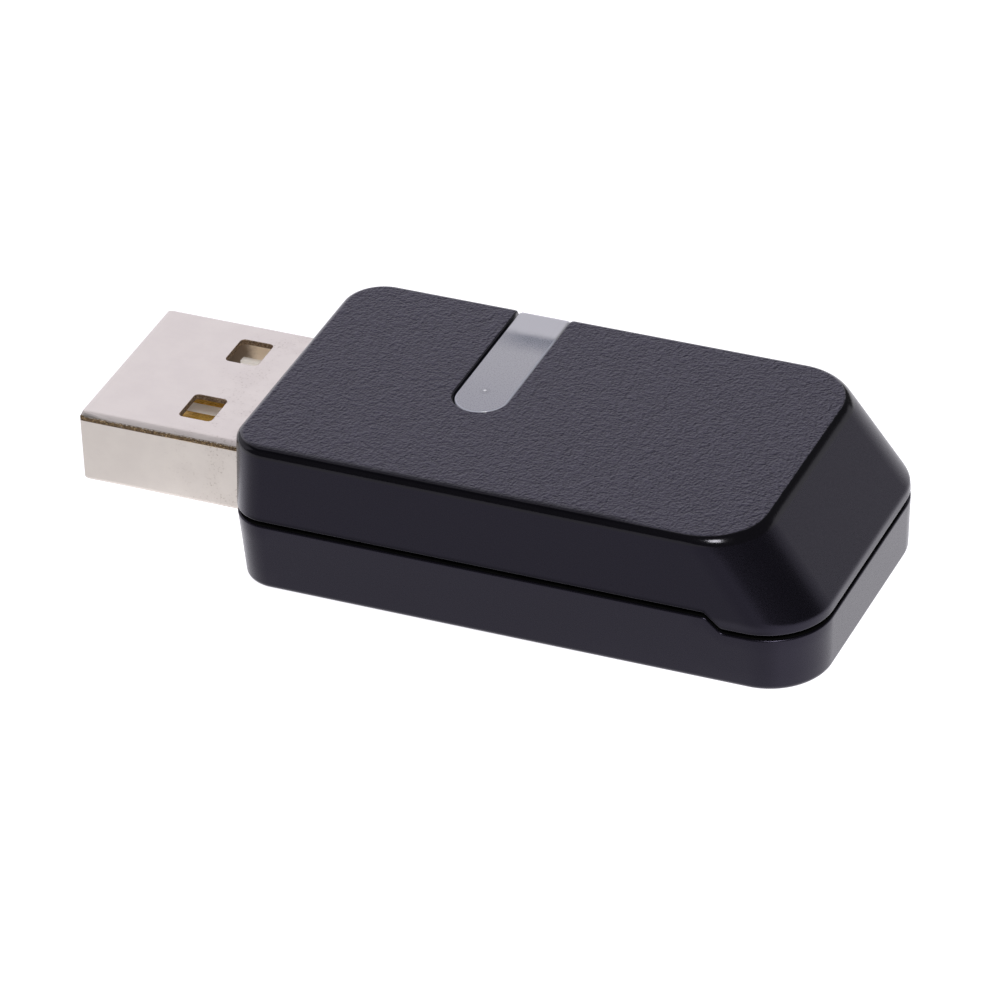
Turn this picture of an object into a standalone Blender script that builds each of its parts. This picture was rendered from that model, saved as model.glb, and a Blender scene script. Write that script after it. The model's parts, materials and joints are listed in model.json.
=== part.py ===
"""USB wifi adapter: a two-part moulded case with a shadow gap, an inlaid light pipe, a fixed USB-A plug, and
the circuit board that carries them.

Sizes are in millimetres and meshes are built in metres. Places are given along x from the plug's tip, along
y from the centreline and along z from the underside; an empty at the middle of the length carries them all.
"""

import math

import bmesh
import bpy
from mathutils import Matrix, Vector

MM = 0.001

# Overall sizes
OVERALL_LENGTH = 45.25
CASE_FRONT = 10.5
CASE_HEIGHT = 9.27
WALL = 1.1
SEAT_GAP = 0.05

# Case outline: (height, value) pairs, read by straight interpolation
PARTING_FRONT = 4.57
PARTING_REAR = 3.69
PARTING_GAP = 0.42
JOG_START = 39.2
JOG_END = 40.1
SLOPE_FOOT = 4.35
FRONT_FACE = ((0.0, 10.75), (PARTING_FRONT, CASE_FRONT), (CASE_HEIGHT, 10.6))
REAR_FACE = ((0.0, 45.08), (PARTING_REAR, OVERALL_LENGTH), (SLOPE_FOOT, 45.2), (CASE_HEIGHT, 41.66))
HALF_WIDTH = ((0.0, 9.23), (PARTING_FRONT, 9.57), (CASE_HEIGHT, 9.34))
FRONT_CORNER = ((0.0, 2.1), (CASE_HEIGHT, 2.4))
REAR_CORNER = ((0.0, 3.55), (SLOPE_FOOT, 3.8), (CASE_HEIGHT, 3.75))
SLOPE_STRETCH = 1.23
TOP_EDGE_RADIUS = 0.45
BOTTOM_EDGE_RADIUS = 0.4
CORNER_STEPS = 9
EDGE_STEPS = 4

# Lip on the lower case that closes the parting gap from inside, and its snaps
LIP_INSET = 0.6
LIP_HEIGHT = 0.8
SNAP_LENGTH = 3.0
SNAP_REACH = 0.2
SNAP_HEIGHT = 0.3
SNAP_PLACES = (17.0, 34.0)

# USB-A plug
PLUG_WIDTH = 12.0
PLUG_HEIGHT = 4.5
PLUG_BOTTOM = 2.48
PLUG_TOP = PLUG_BOTTOM + PLUG_HEIGHT
PLUG_CENTRE = PLUG_BOTTOM + PLUG_HEIGHT / 2
SHEET = 0.3
SHELL_BEND = 0.36
SHELL_END = 16.5
SEAM_BELOW_TOP = 0.42
SEAM_WIDTH = 0.06
WINDOW_START = 5.38
WINDOW_SIZE = (1.97, 2.35)
WINDOW_CENTRE = 3.1
WINDOW_CORNER = 0.25
TAB_LENGTH = 2.5
TAB_BOTTOM = 3.6
TAB_TOP = 4.4
TONGUE_START = 0.35
TONGUE_TOP = 4.68
TONGUE_STEP = 4.75
TONGUE_HALF_WIDTH = 4.9
SHOULDER_TOP = 5.0
SHOULDER_INSIDE = 5.0
SHOULDER_HALF_WIDTH = 5.45
BLOCK_START = 9.0
BLOCK_END = 14.4
CONTACT_WIDTH = 1.0
CONTACT_THICKNESS = 0.2
CONTACT_BOTTOM = 4.53
CONTACT_END = 17.3
CONTACTS = (
    ("contact_vbus", -3.5, 1.1),
    ("contact_d_minus", -1.0, 2.1),
    ("contact_d_plus", 1.0, 2.1),
    ("contact_ground", 3.5, 1.1),
)

# Circuit board
BOARD_TOP = 4.5
BOARD_THICKNESS = 1.0
BOARD_START = 14.6
BOARD_SHOULDER = 19.2
BOARD_END = 43.6
BOARD_NECK = 5.6
BOARD_HALF_WIDTH = 8.0
BOARD_CORNER = 2.3
MOUNTED = BOARD_TOP + 0.03
TRACE_THICKNESS = 0.07
PIN_PLACE = 41.3
PIN_RADIUS = 0.75
PIN_TOP = 4.95

# Light pipe
PIPE_START = 20.69
PIPE_END = 23.78
PIPE_NEAR_END = -1.55
SLOT_START = 20.55
SLOT_END = 23.83
SLOT_NEAR_END = -1.62
PIPE_RECESS = 0.04
PIPE_THICKNESS = 1.35
PIPE_SIDE_BOTTOM = 6.4
PIPE_MIDDLE = (PIPE_START + PIPE_END) / 2
LED_PLACE = (PIPE_MIDDLE, 6.2)

# Shield over the radio
SHIELD_START = 25.2
SHIELD_END = 38.2
SHIELD_HALF_WIDTH = 6.6
SHIELD_HEIGHT = 1.8
SHIELD_SHEET = 0.2

BEYOND = 12.0


# ---------------------------------------------------------------- scene and materials


def clear_scene():
    for obj in list(bpy.data.objects):
        bpy.data.objects.remove(obj, do_unlink=True)
    for collection in list(bpy.data.collections):
        bpy.data.collections.remove(collection)


def add_collection(name):
    collection = bpy.data.collections.new(name)
    bpy.context.scene.collection.children.link(collection)
    return collection


def add_material(name, colour, roughness, metallic=0.0, transmission=0.0):
    material = bpy.data.materials.new(name)
    material.use_nodes = True
    shader = material.node_tree.nodes["Principled BSDF"]
    shader.inputs["Base Color"].default_value = (*colour, 1.0)
    shader.inputs["Roughness"].default_value = roughness
    shader.inputs["Metallic"].default_value = metallic
    shader.inputs["Transmission Weight"].default_value = transmission
    material.diffuse_color = (*colour, 1.0)
    return material


clear_scene()
PARTS = add_collection("usb_wifi_adapter")
CUTTERS = add_collection("cutters")
CUTTERS.hide_render = True

FRAME = bpy.data.objects.new("usb_wifi_adapter_frame", None)
FRAME.location = (-OVERALL_LENGTH / 2 * MM, 0, 0)
PARTS.objects.link(FRAME)

CASE_PLASTIC = add_material("case_charcoal_plastic", (0.045, 0.042, 0.05), 0.5)
PIPE_PLASTIC = add_material("light_pipe_frosted", (0.72, 0.72, 0.74), 0.45, transmission=0.4)
NICKEL = add_material("nickel_plated_steel", (0.66, 0.63, 0.61), 0.3, metallic=1.0)
TIN = add_material("tinned_steel", (0.6, 0.6, 0.6), 0.35, metallic=1.0)
GOLD = add_material("gold_plated_contact", (0.83, 0.6, 0.25), 0.25, metallic=1.0)
COPPER = add_material("copper_trace", (0.75, 0.42, 0.25), 0.35, metallic=1.0)
WHITE_RESIN = add_material("plug_insulator_resin", (0.75, 0.74, 0.71), 0.5)
BOARD_RESIN = add_material("green_solder_mask", (0.03, 0.16, 0.07), 0.4)
CHIP_RESIN = add_material("black_chip_resin", (0.025, 0.025, 0.028), 0.5)
CERAMIC = add_material("capacitor_ceramic", (0.45, 0.33, 0.22), 0.5)
RESISTOR_GLAZE = add_material("resistor_glaze", (0.03, 0.03, 0.04), 0.35)
FERRITE = add_material("ferrite", (0.09, 0.09, 0.1), 0.6)
LED_LENS = add_material("led_lens", (0.85, 0.85, 0.78), 0.3, transmission=0.3)


# ---------------------------------------------------------------- building blocks


def place(obj, material):
    """Puts an object in the parts if it has a material, and in the cutters if it has none."""
    obj.parent = FRAME
    if material is None:
        obj.hide_render = True
        obj.display_type = "WIRE"
        CUTTERS.objects.link(obj)
    else:
        obj.data.materials.append(material)
        PARTS.objects.link(obj)
    return obj


def shade(mesh):
    """Draws round faces smooth and keeps edges of over 30 degrees sharp."""
    mesh.shade_smooth()
    mesh.set_sharp_from_angle(angle=math.radians(30))


def object_from(bm, name, material):
    bmesh.ops.recalc_face_normals(bm, faces=bm.faces)
    mesh = bpy.data.meshes.new(name)
    bm.to_mesh(mesh)
    bm.free()
    shade(mesh)
    return place(bpy.data.objects.new(name, mesh), material)


def box(name, low, high, material=None):
    """A box between two corners, with its origin at its middle."""
    middle = [(a + b) / 2 * MM for a, b in zip(low, high)]
    size = [(b - a) * MM for a, b in zip(low, high)]
    bm = bmesh.new()
    bmesh.ops.create_cube(bm, size=1, matrix=Matrix.Diagonal((*size, 1)))
    obj = object_from(bm, name, material)
    obj.location = middle
    return obj


def cylinder(name, centre, radius, bottom, top, material=None, sides=20):
    bm = bmesh.new()
    bmesh.ops.create_cone(
        bm, cap_ends=True, segments=sides, radius1=radius * MM, radius2=radius * MM, depth=(top - bottom) * MM
    )
    obj = object_from(bm, name, material)
    obj.location = (centre[0] * MM, centre[1] * MM, (bottom + top) / 2 * MM)
    return obj


def arc(centre, radius, start, stop, steps):
    """Points of a round corner, both ends included, with the angles in degrees."""
    angles = [math.radians(start + (stop - start) * step / steps) for step in range(steps + 1)]
    return [(centre[0] + radius * math.cos(a), centre[1] + radius * math.sin(a)) for a in angles]


def rounded_rectangle(low, high, low_radius, high_radius, steps):
    """Anticlockwise outline, with one radius for the two corners at low x and one for those at high x."""
    return (
        arc((high[0] - high_radius, low[1] + high_radius), high_radius, -90, 0, steps)
        + arc((high[0] - high_radius, high[1] - high_radius), high_radius, 0, 90, steps)
        + arc((low[0] + low_radius, high[1] - low_radius), low_radius, 90, 180, steps)
        + arc((low[0] + low_radius, low[1] + low_radius), low_radius, 180, 270, steps)
    )


XY_PLANE = Matrix.Identity(4)
XZ_PLANE = Matrix.Rotation(math.radians(90), 4, "X")
YZ_PLANE = Matrix(((0, 0, 1, 0), (1, 0, 0, 0), (0, 1, 0, 0), (0, 0, 0, 1)))


def extruded_outline(name, outline, plane, middle, thickness, material=None):
    """A flat outline with thickness. The curve is filled at 1 unit to the millimetre and scaled down as a mesh."""
    curve = bpy.data.curves.new(name, "CURVE")
    curve.dimensions = "2D"
    curve.fill_mode = "BOTH"
    curve.extrude = thickness / 2
    spline = curve.splines.new("POLY")
    spline.points.add(len(outline) - 1)
    for point, (u, v) in zip(spline.points, outline):
        point.co = (u, v, 0, 1)
    spline.use_cyclic_u = True
    source = bpy.data.objects.new(name + "_outline", curve)
    bpy.context.scene.collection.objects.link(source)
    graph = bpy.context.evaluated_depsgraph_get()
    mesh = bpy.data.meshes.new_from_object(source.evaluated_get(graph))
    bpy.data.objects.remove(source, do_unlink=True)
    bm = bmesh.new()
    bm.from_mesh(mesh)
    bmesh.ops.remove_doubles(bm, verts=bm.verts, dist=0.001)
    bmesh.ops.transform(bm, matrix=Matrix.Scale(MM, 4) @ plane, verts=bm.verts)
    obj = object_from(bm, name, material)
    obj.location = Vector(middle) * MM
    return obj


def bevelled(obj, width, segments=1):
    modifier = obj.modifiers.new("edge_rounding", "BEVEL")
    modifier.width = width * MM
    modifier.segments = segments
    modifier.limit_method = "ANGLE"
    return obj


def combine(target, tool, operation):
    modifier = target.modifiers.new(tool.name, "BOOLEAN")
    modifier.solver = "EXACT"
    modifier.operation = operation
    modifier.object = tool


def cut(target, *tools):
    for tool in tools:
        combine(target, tool, "DIFFERENCE")


def join(target, *tools):
    for tool in tools:
        combine(target, tool, "UNION")


def keep(target, *tools):
    for tool in tools:
        combine(target, tool, "INTERSECT")


# ---------------------------------------------------------------- case


def at_height(pairs, z):
    """Value at height z, by straight interpolation in (height, value) pairs."""
    for (low, first), (high, second) in zip(pairs, pairs[1:]):
        if z <= high:
            return first + (second - first) * (z - low) / (high - low)
    return pairs[-1][1]


def case_section(z, inset, edge_inset=0.0):
    """Plan outline of the case at height z, moved inwards by inset, and by edge_inset for a rounded edge.

    The rear face slopes, so a wall thickness measures more along x there, and a rounded edge less."""
    total = inset + edge_inset
    stretch = SLOPE_STRETCH if z > SLOPE_FOOT else 1.0
    edge_share = 0.55 if z > SLOPE_FOOT else 1.0
    front = at_height(FRONT_FACE, z) + total
    rear = at_height(REAR_FACE, z) - inset * stretch - edge_inset * edge_share
    half_width = at_height(HALF_WIDTH, z) - total
    outline = rounded_rectangle(
        (front, -half_width),
        (rear, half_width),
        at_height(FRONT_CORNER, z) - total,
        at_height(REAR_CORNER, z) - total,
        CORNER_STEPS,
    )
    return [(x, y, z) for x, y in outline]


def edge_rings(radius, steps):
    """(height above the flat's tangent, inset) pairs of a quarter-round edge, from its side to its flat."""
    angles = [math.pi / 2 * step / steps for step in range(1, steps + 1)]
    return [(radius * math.sin(a), radius * (1 - math.cos(a))) for a in angles]


def case_body(name, inset, material=None):
    """The closed outer form of the case, moved inwards by inset on every side. Only the outermost has round edges."""
    levels = [(PARTING_REAR, 0.0), (SLOPE_FOOT, 0.0), (PARTING_FRONT, 0.0)]
    if inset < LIP_INSET:
        top, bottom = TOP_EDGE_RADIUS, BOTTOM_EDGE_RADIUS
        levels += [(bottom, 0.0), (CASE_HEIGHT - inset - top, 0.0)]
        levels += [(bottom - rise, edge) for rise, edge in edge_rings(bottom, EDGE_STEPS)]
        levels += [(CASE_HEIGHT - inset - top + rise, edge) for rise, edge in edge_rings(top, EDGE_STEPS)]
    else:
        levels += [(inset, 0.0), (CASE_HEIGHT - inset, 0.0)]
    bm = bmesh.new()
    rings = []
    for z, edge in sorted(levels):
        section = case_section(z, inset, edge)
        rings.append([bm.verts.new(Vector(point) * MM) for point in section])
    for lower, upper in zip(rings, rings[1:]):
        for index in range(len(lower)):
            following = (index + 1) % len(lower)
            bm.faces.new((lower[index], lower[following], upper[following], upper[index]))
    bm.faces.new(rings[0][::-1])
    bm.faces.new(rings[-1])
    bmesh.ops.triangulate(bm, faces=bm.faces)
    return object_from(bm, name, material)


def below_parting(name, rise):
    """Everything below the jogged parting line, raised by rise."""
    outline = [
        (-BEYOND, -BEYOND),
        (OVERALL_LENGTH + BEYOND, -BEYOND),
        (OVERALL_LENGTH + BEYOND, PARTING_REAR + rise),
        (JOG_END, PARTING_REAR + rise),
        (JOG_START, PARTING_FRONT + rise),
        (-BEYOND, PARTING_FRONT + rise),
    ]
    return extruded_outline(name, outline, XZ_PLANE, (0, 0, 0), 2 * BEYOND)


def plug_opening(name):
    outline = rounded_rectangle(
        (-PLUG_WIDTH / 2 - SEAT_GAP, PLUG_BOTTOM - SEAT_GAP),
        (PLUG_WIDTH / 2 + SEAT_GAP, PLUG_TOP + SEAT_GAP),
        SHELL_BEND + SEAT_GAP,
        SHELL_BEND + SEAT_GAP,
        4,
    )
    return extruded_outline(name, outline, YZ_PLANE, (CASE_FRONT + WALL, 0, 0), 4 * WALL)


def snap_boxes(name, inset, spare):
    """Four blocks on the sides of the lip, from the lip's inside out to inset, each larger by spare."""
    bm = bmesh.new()
    outer = at_height(HALF_WIDTH, PARTING_FRONT) - inset
    inner = outer - LIP_INSET
    middle_z = PARTING_FRONT + LIP_HEIGHT * 0.62
    size = (SNAP_LENGTH + 2 * spare, outer - inner, SNAP_HEIGHT + 2 * spare)
    for x in SNAP_PLACES:
        for side in (-1, 1):
            centre = Vector((x, side * (outer + inner) / 2, middle_z)) * MM
            matrix = Matrix.Translation(centre) @ Matrix.Diagonal((*(Vector(size) * MM), 1))
            bmesh.ops.create_cube(bm, size=1, matrix=matrix)
    return object_from(bm, name, None)


def pipe_column(name, start, end, near_end, bottom):
    """A column with the light pipe's plan: round at its near end, and running out past the far side."""
    middle = (start + end) / 2
    radius = (end - start) / 2
    outline = arc((middle, near_end + radius), radius, 180, 360, 12)
    outline += [(end, BEYOND), (start, BEYOND)]
    return extruded_outline(name, outline, XY_PLANE, (0, 0, (bottom + BEYOND) / 2), BEYOND - bottom)


def lower_case():
    shell = case_body("lower_case", 0.0, CASE_PLASTIC)
    keep(shell, below_parting("lower_case_limit", -PARTING_GAP / 2))
    lip = case_body("lower_lip", LIP_INSET)
    keep(lip, below_parting("lower_lip_limit", LIP_HEIGHT))
    snaps = snap_boxes("snap_hooks", LIP_INSET - SNAP_REACH, 0.0)
    join(shell, lip, snaps)
    cut(shell, case_body("lower_cavity", WALL))
    floor = WALL / 2
    underside = BOARD_TOP - BOARD_THICKNESS - 0.03
    for number, x in enumerate((21.0, 37.0), 1):
        rib = box(f"board_rib_{number}", (x - 0.4, -7.0, floor), (x + 0.4, 7.0, underside))
        join(shell, rib)
    cradle = box("plug_cradle_low", (13.0, -5.5, floor), (13.8, 5.5, PLUG_BOTTOM - SEAT_GAP))
    pin_foot = cylinder("board_pin_foot", (PIN_PLACE, 0), PIN_RADIUS + 0.6, floor, underside)
    pin = cylinder("board_pin", (PIN_PLACE, 0), PIN_RADIUS, 2 * floor, PIN_TOP)
    join(shell, cradle, pin_foot, pin)
    cut(shell, plug_opening("plug_opening_low"))


def upper_case():
    shell = case_body("upper_case", 0.0, CASE_PLASTIC)
    rebate = case_body("upper_rebate", LIP_INSET - SEAT_GAP)
    keep(rebate, below_parting("upper_rebate_limit", LIP_HEIGHT + SEAT_GAP))
    cut(shell, below_parting("upper_case_limit", PARTING_GAP / 2), rebate)
    cut(shell, case_body("upper_cavity", WALL))
    cut(shell, snap_boxes("snap_pockets", LIP_INSET - SNAP_REACH - SEAT_GAP, SEAT_GAP))
    ceiling = CASE_HEIGHT - WALL / 2
    for number, (x, side) in enumerate(((27.5, -1), (27.5, 1), (37.2, -1), (37.2, 1)), 1):
        post = box(
            f"hold_down_{number}", (x - 0.5, side * 7.4 - 0.4, MOUNTED), (x + 0.5, side * 7.4 + 0.4, ceiling)
        )
        join(shell, post)
    clamp = box("plug_cradle_high", (13.0, -5.5, PLUG_TOP + SEAT_GAP), (13.8, 5.5, ceiling))
    join(shell, clamp)
    slot = pipe_column("light_pipe_slot", SLOT_START, SLOT_END, SLOT_NEAR_END, PIPE_SIDE_BOTTOM)
    cut(shell, plug_opening("plug_opening_high"), slot)


def light_pipe():
    pipe = case_body("light_pipe", PIPE_RECESS, PIPE_PLASTIC)
    bottom = PIPE_SIDE_BOTTOM + SEAT_GAP
    keep(pipe, pipe_column("light_pipe_outline", PIPE_START, PIPE_END, PIPE_NEAR_END, bottom))
    cut(pipe, case_body("light_pipe_hollow", PIPE_RECESS + PIPE_THICKNESS))
    ceiling = CASE_HEIGHT - WALL - SEAT_GAP
    flange = box("light_pipe_flange", (PIPE_START - 0.7, -2.4, ceiling - 0.6), (PIPE_END + 0.7, 7.6, ceiling))
    x, y = LED_PLACE
    foot = box("light_pipe_foot", (x - 1.2, y - 0.9, MOUNTED + 0.8), (x + 1.2, y + 0.9, ceiling - 0.2))
    join(pipe, flange, foot)


# ---------------------------------------------------------------- plug


def shell_outline():
    """C-shaped section of the folded shell, in (y, z): outer line from seam to seam, then the inner line back."""
    half_width = PLUG_WIDTH / 2
    seam_top = PLUG_TOP - SEAM_BELOW_TOP
    seam_bottom = seam_top - SEAM_WIDTH

    def wrap(inset):
        bend = SHELL_BEND - inset
        right, left = half_width - inset - bend, -half_width + inset + bend
        low, high = PLUG_BOTTOM + inset + bend, PLUG_TOP - inset - bend
        line = [(-half_width + inset, seam_bottom)]
        line += arc((left, low), bend, 180, 270, 4) + arc((right, low), bend, 270, 360, 4)
        line += arc((right, high), bend, 0, 90, 4) + arc((left, high), bend, 90, 175, 4)
        return line + [(-half_width + inset, seam_top)]

    return wrap(0.0) + wrap(SHEET)[::-1]


def window_cutter(name, side):
    """One window through both the top and the bottom of the shell."""
    length, width = WINDOW_SIZE
    low = (WINDOW_START, side * WINDOW_CENTRE - width / 2)
    high = (WINDOW_START + length, side * WINDOW_CENTRE + width / 2)
    outline = rounded_rectangle(low, high, WINDOW_CORNER, WINDOW_CORNER, 3)
    return extruded_outline(name, outline, XY_PLANE, (0, 0, PLUG_CENTRE), PLUG_HEIGHT + 1)


def plug_shell():
    length = SHELL_END + TAB_LENGTH
    shell = extruded_outline("plug_shell", shell_outline(), YZ_PLANE, (length / 2, 0, 0), length, NICKEL)
    behind = (length + 1, BEYOND)
    above = box("tab_trim_above", (SHELL_END, -BEYOND, TAB_TOP), (*behind, BEYOND))
    below = box("tab_trim_below", (SHELL_END, -BEYOND, -1), (*behind, TAB_BOTTOM))
    cut(shell, above, below, window_cutter("window_near", -1), window_cutter("window_far", 1))


def plug_insulator():
    """The tongue, with a raised shoulder along each side behind its step, and the block that fills the shell."""
    half_width = PLUG_WIDTH / 2 - SHEET - SEAT_GAP
    low = PLUG_BOTTOM + SHEET + SEAT_GAP
    high = PLUG_TOP - SHEET - SEAT_GAP
    outline = [
        (TONGUE_START, low + 0.4),
        (TONGUE_START + 0.3, low),
        (BLOCK_END, low),
        (BLOCK_END, high),
        (BLOCK_START, high),
        (BLOCK_START, SHOULDER_TOP),
        (TONGUE_START + 0.3 + SHOULDER_TOP - TONGUE_TOP, SHOULDER_TOP),
        (TONGUE_START, TONGUE_TOP - 0.3),
    ]
    body = extruded_outline("plug_insulator", outline, XZ_PLANE, (0, 0, 0), 2 * half_width, WHITE_RESIN)
    trough_end = (BLOCK_START + 0.2, SHOULDER_INSIDE, BEYOND)
    cut(body, box("tongue_trough", (-1, -SHOULDER_INSIDE, TONGUE_TOP), trough_end))
    for side in (-1, 1):
        for inside, end in ((SHOULDER_HALF_WIDTH, BLOCK_START - 0.1), (TONGUE_HALF_WIDTH, TONGUE_STEP)):
            low_y, high_y = sorted((side * inside, side * PLUG_WIDTH / 2))
            cut(body, box(f"side_notch_{side}", (-1, low_y, 0), (end, high_y, BEYOND)))
    for name, y, start in CONTACTS:
        groove = box(
            name + "_groove",
            (start - 0.1, y - CONTACT_WIDTH / 2 - 0.04, CONTACT_BOTTOM - 0.04),
            (BLOCK_END + 1, y + CONTACT_WIDTH / 2 + 0.04, CONTACT_BOTTOM + CONTACT_THICKNESS + 0.04),
        )
        cut(body, groove)


def contacts():
    for name, y, start in CONTACTS:
        top = CONTACT_BOTTOM + CONTACT_THICKNESS
        outline = [
            (start, CONTACT_BOTTOM),
            (CONTACT_END, CONTACT_BOTTOM),
            (CONTACT_END, top),
            (start + 0.35, top),
            (start, CONTACT_BOTTOM + 0.06),
        ]
        extruded_outline(name, outline, XZ_PLANE, (0, y, 0), CONTACT_WIDTH, GOLD)


# ---------------------------------------------------------------- circuit board


def circuit_board():
    corner_centre = (BOARD_END - BOARD_CORNER, BOARD_HALF_WIDTH - BOARD_CORNER)
    side = [(BOARD_START, BOARD_NECK), (BOARD_SHOULDER, BOARD_NECK), (BOARD_SHOULDER, BOARD_HALF_WIDTH)]
    side += arc(corner_centre, BOARD_CORNER, 90, 0, 5)
    outline = side + [(x, -y) for x, y in side[::-1]]
    middle = (0, 0, BOARD_TOP - BOARD_THICKNESS / 2)
    board = extruded_outline("circuit_board", outline, XY_PLANE, middle, BOARD_THICKNESS, BOARD_RESIN)
    cut(board, cylinder("board_pin_hole", (PIN_PLACE, 0), PIN_RADIUS + 0.1, 1, 7))


def chip(name, centre, size, material, edge=0.06):
    """A plain surface-mounted body that stands on the board."""
    low = (centre[0] - size[0] / 2, centre[1] - size[1] / 2, MOUNTED)
    high = (centre[0] + size[0] / 2, centre[1] + size[1] / 2, MOUNTED + size[2])
    return bevelled(box(name, low, high, material), edge)


def leaded_chip(name, centre, size, lead_offsets, lead_width):
    """A moulded body with bent leads along both of its long sides: lead_offsets holds the y side and its x places."""
    body_low = (centre[0] - size[0] / 2, centre[1] - size[1] / 2, MOUNTED + 0.12)
    body_high = (centre[0] + size[0] / 2, centre[1] + size[1] / 2, MOUNTED + size[2])
    body = bevelled(box(name, body_low, body_high, CHIP_RESIN), 0.1)
    half = size[1] / 2
    height = size[2] * 0.5
    reach = half + 0.6
    profile = [
        (half - 0.2, height),
        (half + 0.2, height),
        (half + 0.35, 0.12),
        (reach, 0.12),
        (reach, 0.0),
        (half + 0.25, 0.0),
        (half + 0.1, height - 0.12),
        (half - 0.2, height - 0.12),
    ]
    for side, places in lead_offsets:
        for number, x in enumerate(places, 1):
            outline = [(side * v, w) for v, w in profile]
            where = (centre[0] + x, centre[1], MOUNTED)
            label = f"{name}_lead_{'near' if side < 0 else 'far'}_{number}"
            join(body, extruded_outline(label, outline, YZ_PLANE, where, lead_width))
    return body


def shield_frame():
    sheet = SHIELD_SHEET
    top = MOUNTED + SHIELD_HEIGHT
    half = SHIELD_HALF_WIDTH
    frame = box("shield_frame", (SHIELD_START, -half, MOUNTED), (SHIELD_END, half, top), TIN)
    inside = box(
        "shield_frame_inside",
        (SHIELD_START + sheet, -half + sheet, MOUNTED - 1),
        (SHIELD_END - sheet, half - sheet, top - sheet),
    )
    flange = 0.8
    window = box(
        "shield_frame_window",
        (SHIELD_START + flange, -half + flange, MOUNTED),
        (SHIELD_END - flange, half - flange, top + 1),
    )
    cut(frame, inside, window)


def shield_lid():
    sheet = SHIELD_SHEET
    inner_gap = SEAT_GAP
    outer = inner_gap + sheet
    half = SHIELD_HALF_WIDTH
    bottom = MOUNTED + 0.5
    frame_top = MOUNTED + SHIELD_HEIGHT
    lid = box(
        "shield_lid",
        (SHIELD_START - outer, -half - outer, bottom),
        (SHIELD_END + outer, half + outer, frame_top + outer),
        TIN,
    )
    inside = box(
        "shield_lid_inside",
        (SHIELD_START - inner_gap, -half - inner_gap, bottom - 1),
        (SHIELD_END + inner_gap, half + inner_gap, frame_top + inner_gap),
    )
    cut(lid, inside)
    columns, rows, pitch = 4, 3, 2.6
    middle = (SHIELD_START + SHIELD_END) / 2
    for column in range(columns):
        for row in range(rows):
            x = middle + (column - (columns - 1) / 2) * pitch
            y = (row - (rows - 1) / 2) * pitch
            cut(lid, cylinder(f"vent_{column}_{row}", (x, y), 0.45, frame_top - 1, frame_top + 2, sides=12))


def radio_parts():
    middle = (SHIELD_START + SHIELD_END) / 2
    chip("wifi_chip", (middle, 0), (7.0, 7.0, 0.85), CHIP_RESIN, 0.08)
    chip("crystal", (27.4, 5.0), (3.2, 2.5, 0.75), TIN, 0.15)
    for name, side in (("main", -1), ("auxiliary", 1)):
        chip(f"balun_{name}", (36.9, side * 2.4), (1.2, 2.0, 0.7), CERAMIC)
        chip(f"antenna_connector_{name}", (39.7, side * 4.4), (1.8, 1.8, 0.9), TIN, 0.15)


def strip_outline(points, width):
    """Outline of a strip that follows points through square turns."""
    sides = ([], [])
    for index, here in enumerate(points):
        before = points[max(index - 1, 0)]
        after = points[min(index + 1, len(points) - 1)]
        normals = []
        for start, stop in ((before, here), (here, after)):
            run = Vector(stop) - Vector(start)
            if run.length:
                normals.append(Vector((-run.y, run.x)).normalized())
        corner = normals[0] if len(normals) == 1 or normals[0] == normals[1] else normals[0] + normals[1]
        for line, sign in zip(sides, (1, -1)):
            point = Vector(here) + corner * (sign * width / 2)
            line.append((point.x, point.y))
    return sides[0] + sides[1][::-1]


def antennas():
    """Printed aerials at the rear edge, one each side of the locating pin: a feed and four folds."""
    feed, near, far = 39.35, 40.9, 43.05
    first, pitch, width = 2.3, 0.8, 0.35
    for name, side in (("antenna_main", -1), ("antenna_auxiliary", 1)):
        points = [(feed, side * first), (far, side * first)]
        for fold in range(1, 5):
            y = side * (first + fold * pitch)
            turn = [(far, y), (near, y)]
            points += turn if fold % 2 else turn[::-1]
        outline = strip_outline(points, width)
        middle = (0, 0, MOUNTED + TRACE_THICKNESS / 2)
        extruded_outline(name, outline, XY_PLANE, middle, TRACE_THICKNESS, COPPER)


def power_parts():
    leaded_chip(
        "voltage_regulator", (21.4, -5.6), (2.9, 1.6, 1.1), ((-1, (-0.95, 0, 0.95)), (1, (-0.95, 0.95))), 0.4
    )
    lead_places = (-1.9, -0.63, 0.63, 1.9)
    leaded_chip("settings_memory", (21.9, 1.3), (4.9, 3.9, 1.4), ((-1, lead_places), (1, lead_places)), 0.42)
    chip("power_inductor", (21.2, -2.7), (2.5, 1.4, 1.2), FERRITE, 0.12)
    chip("input_capacitor", (18.3, -4.7), (1.25, 1.4, 1.1), CERAMIC)
    chip("output_capacitor", (24.2, -5.4), (1.0, 2.0, 1.0), CERAMIC)
    chip("surge_protector", (18.4, 0), (1.2, 1.4, 0.6), CHIP_RESIN)
    chip("ferrite_bead", (18.3, 4.7), (1.2, 0.8, 0.7), FERRITE)
    chip("data_resistor_minus", (18.6, -1.9), (1.0, 0.5, 0.35), RESISTOR_GLAZE, 0.03)
    chip("data_resistor_plus", (18.6, 1.9), (1.0, 0.5, 0.35), RESISTOR_GLAZE, 0.03)
    chip("led_resistor", (20.2, 6.2), (0.5, 1.0, 0.35), RESISTOR_GLAZE, 0.03)
    chip("status_led", LED_PLACE, (1.6, 0.8, 0.6), LED_LENS, 0.05)


def decoupling_capacitors():
    """Small capacitors around the radio, under the shield."""
    places = ((26.6, -4.6), (28.6, -4.9), (30.6, -4.9), (32.6, -4.9), (31.4, 4.9), (33.4, 4.9))
    for number, centre in enumerate(places, 1):
        chip(f"decoupling_capacitor_{number}", centre, (1.0, 0.5, 0.5), CERAMIC, 0.04)


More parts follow.
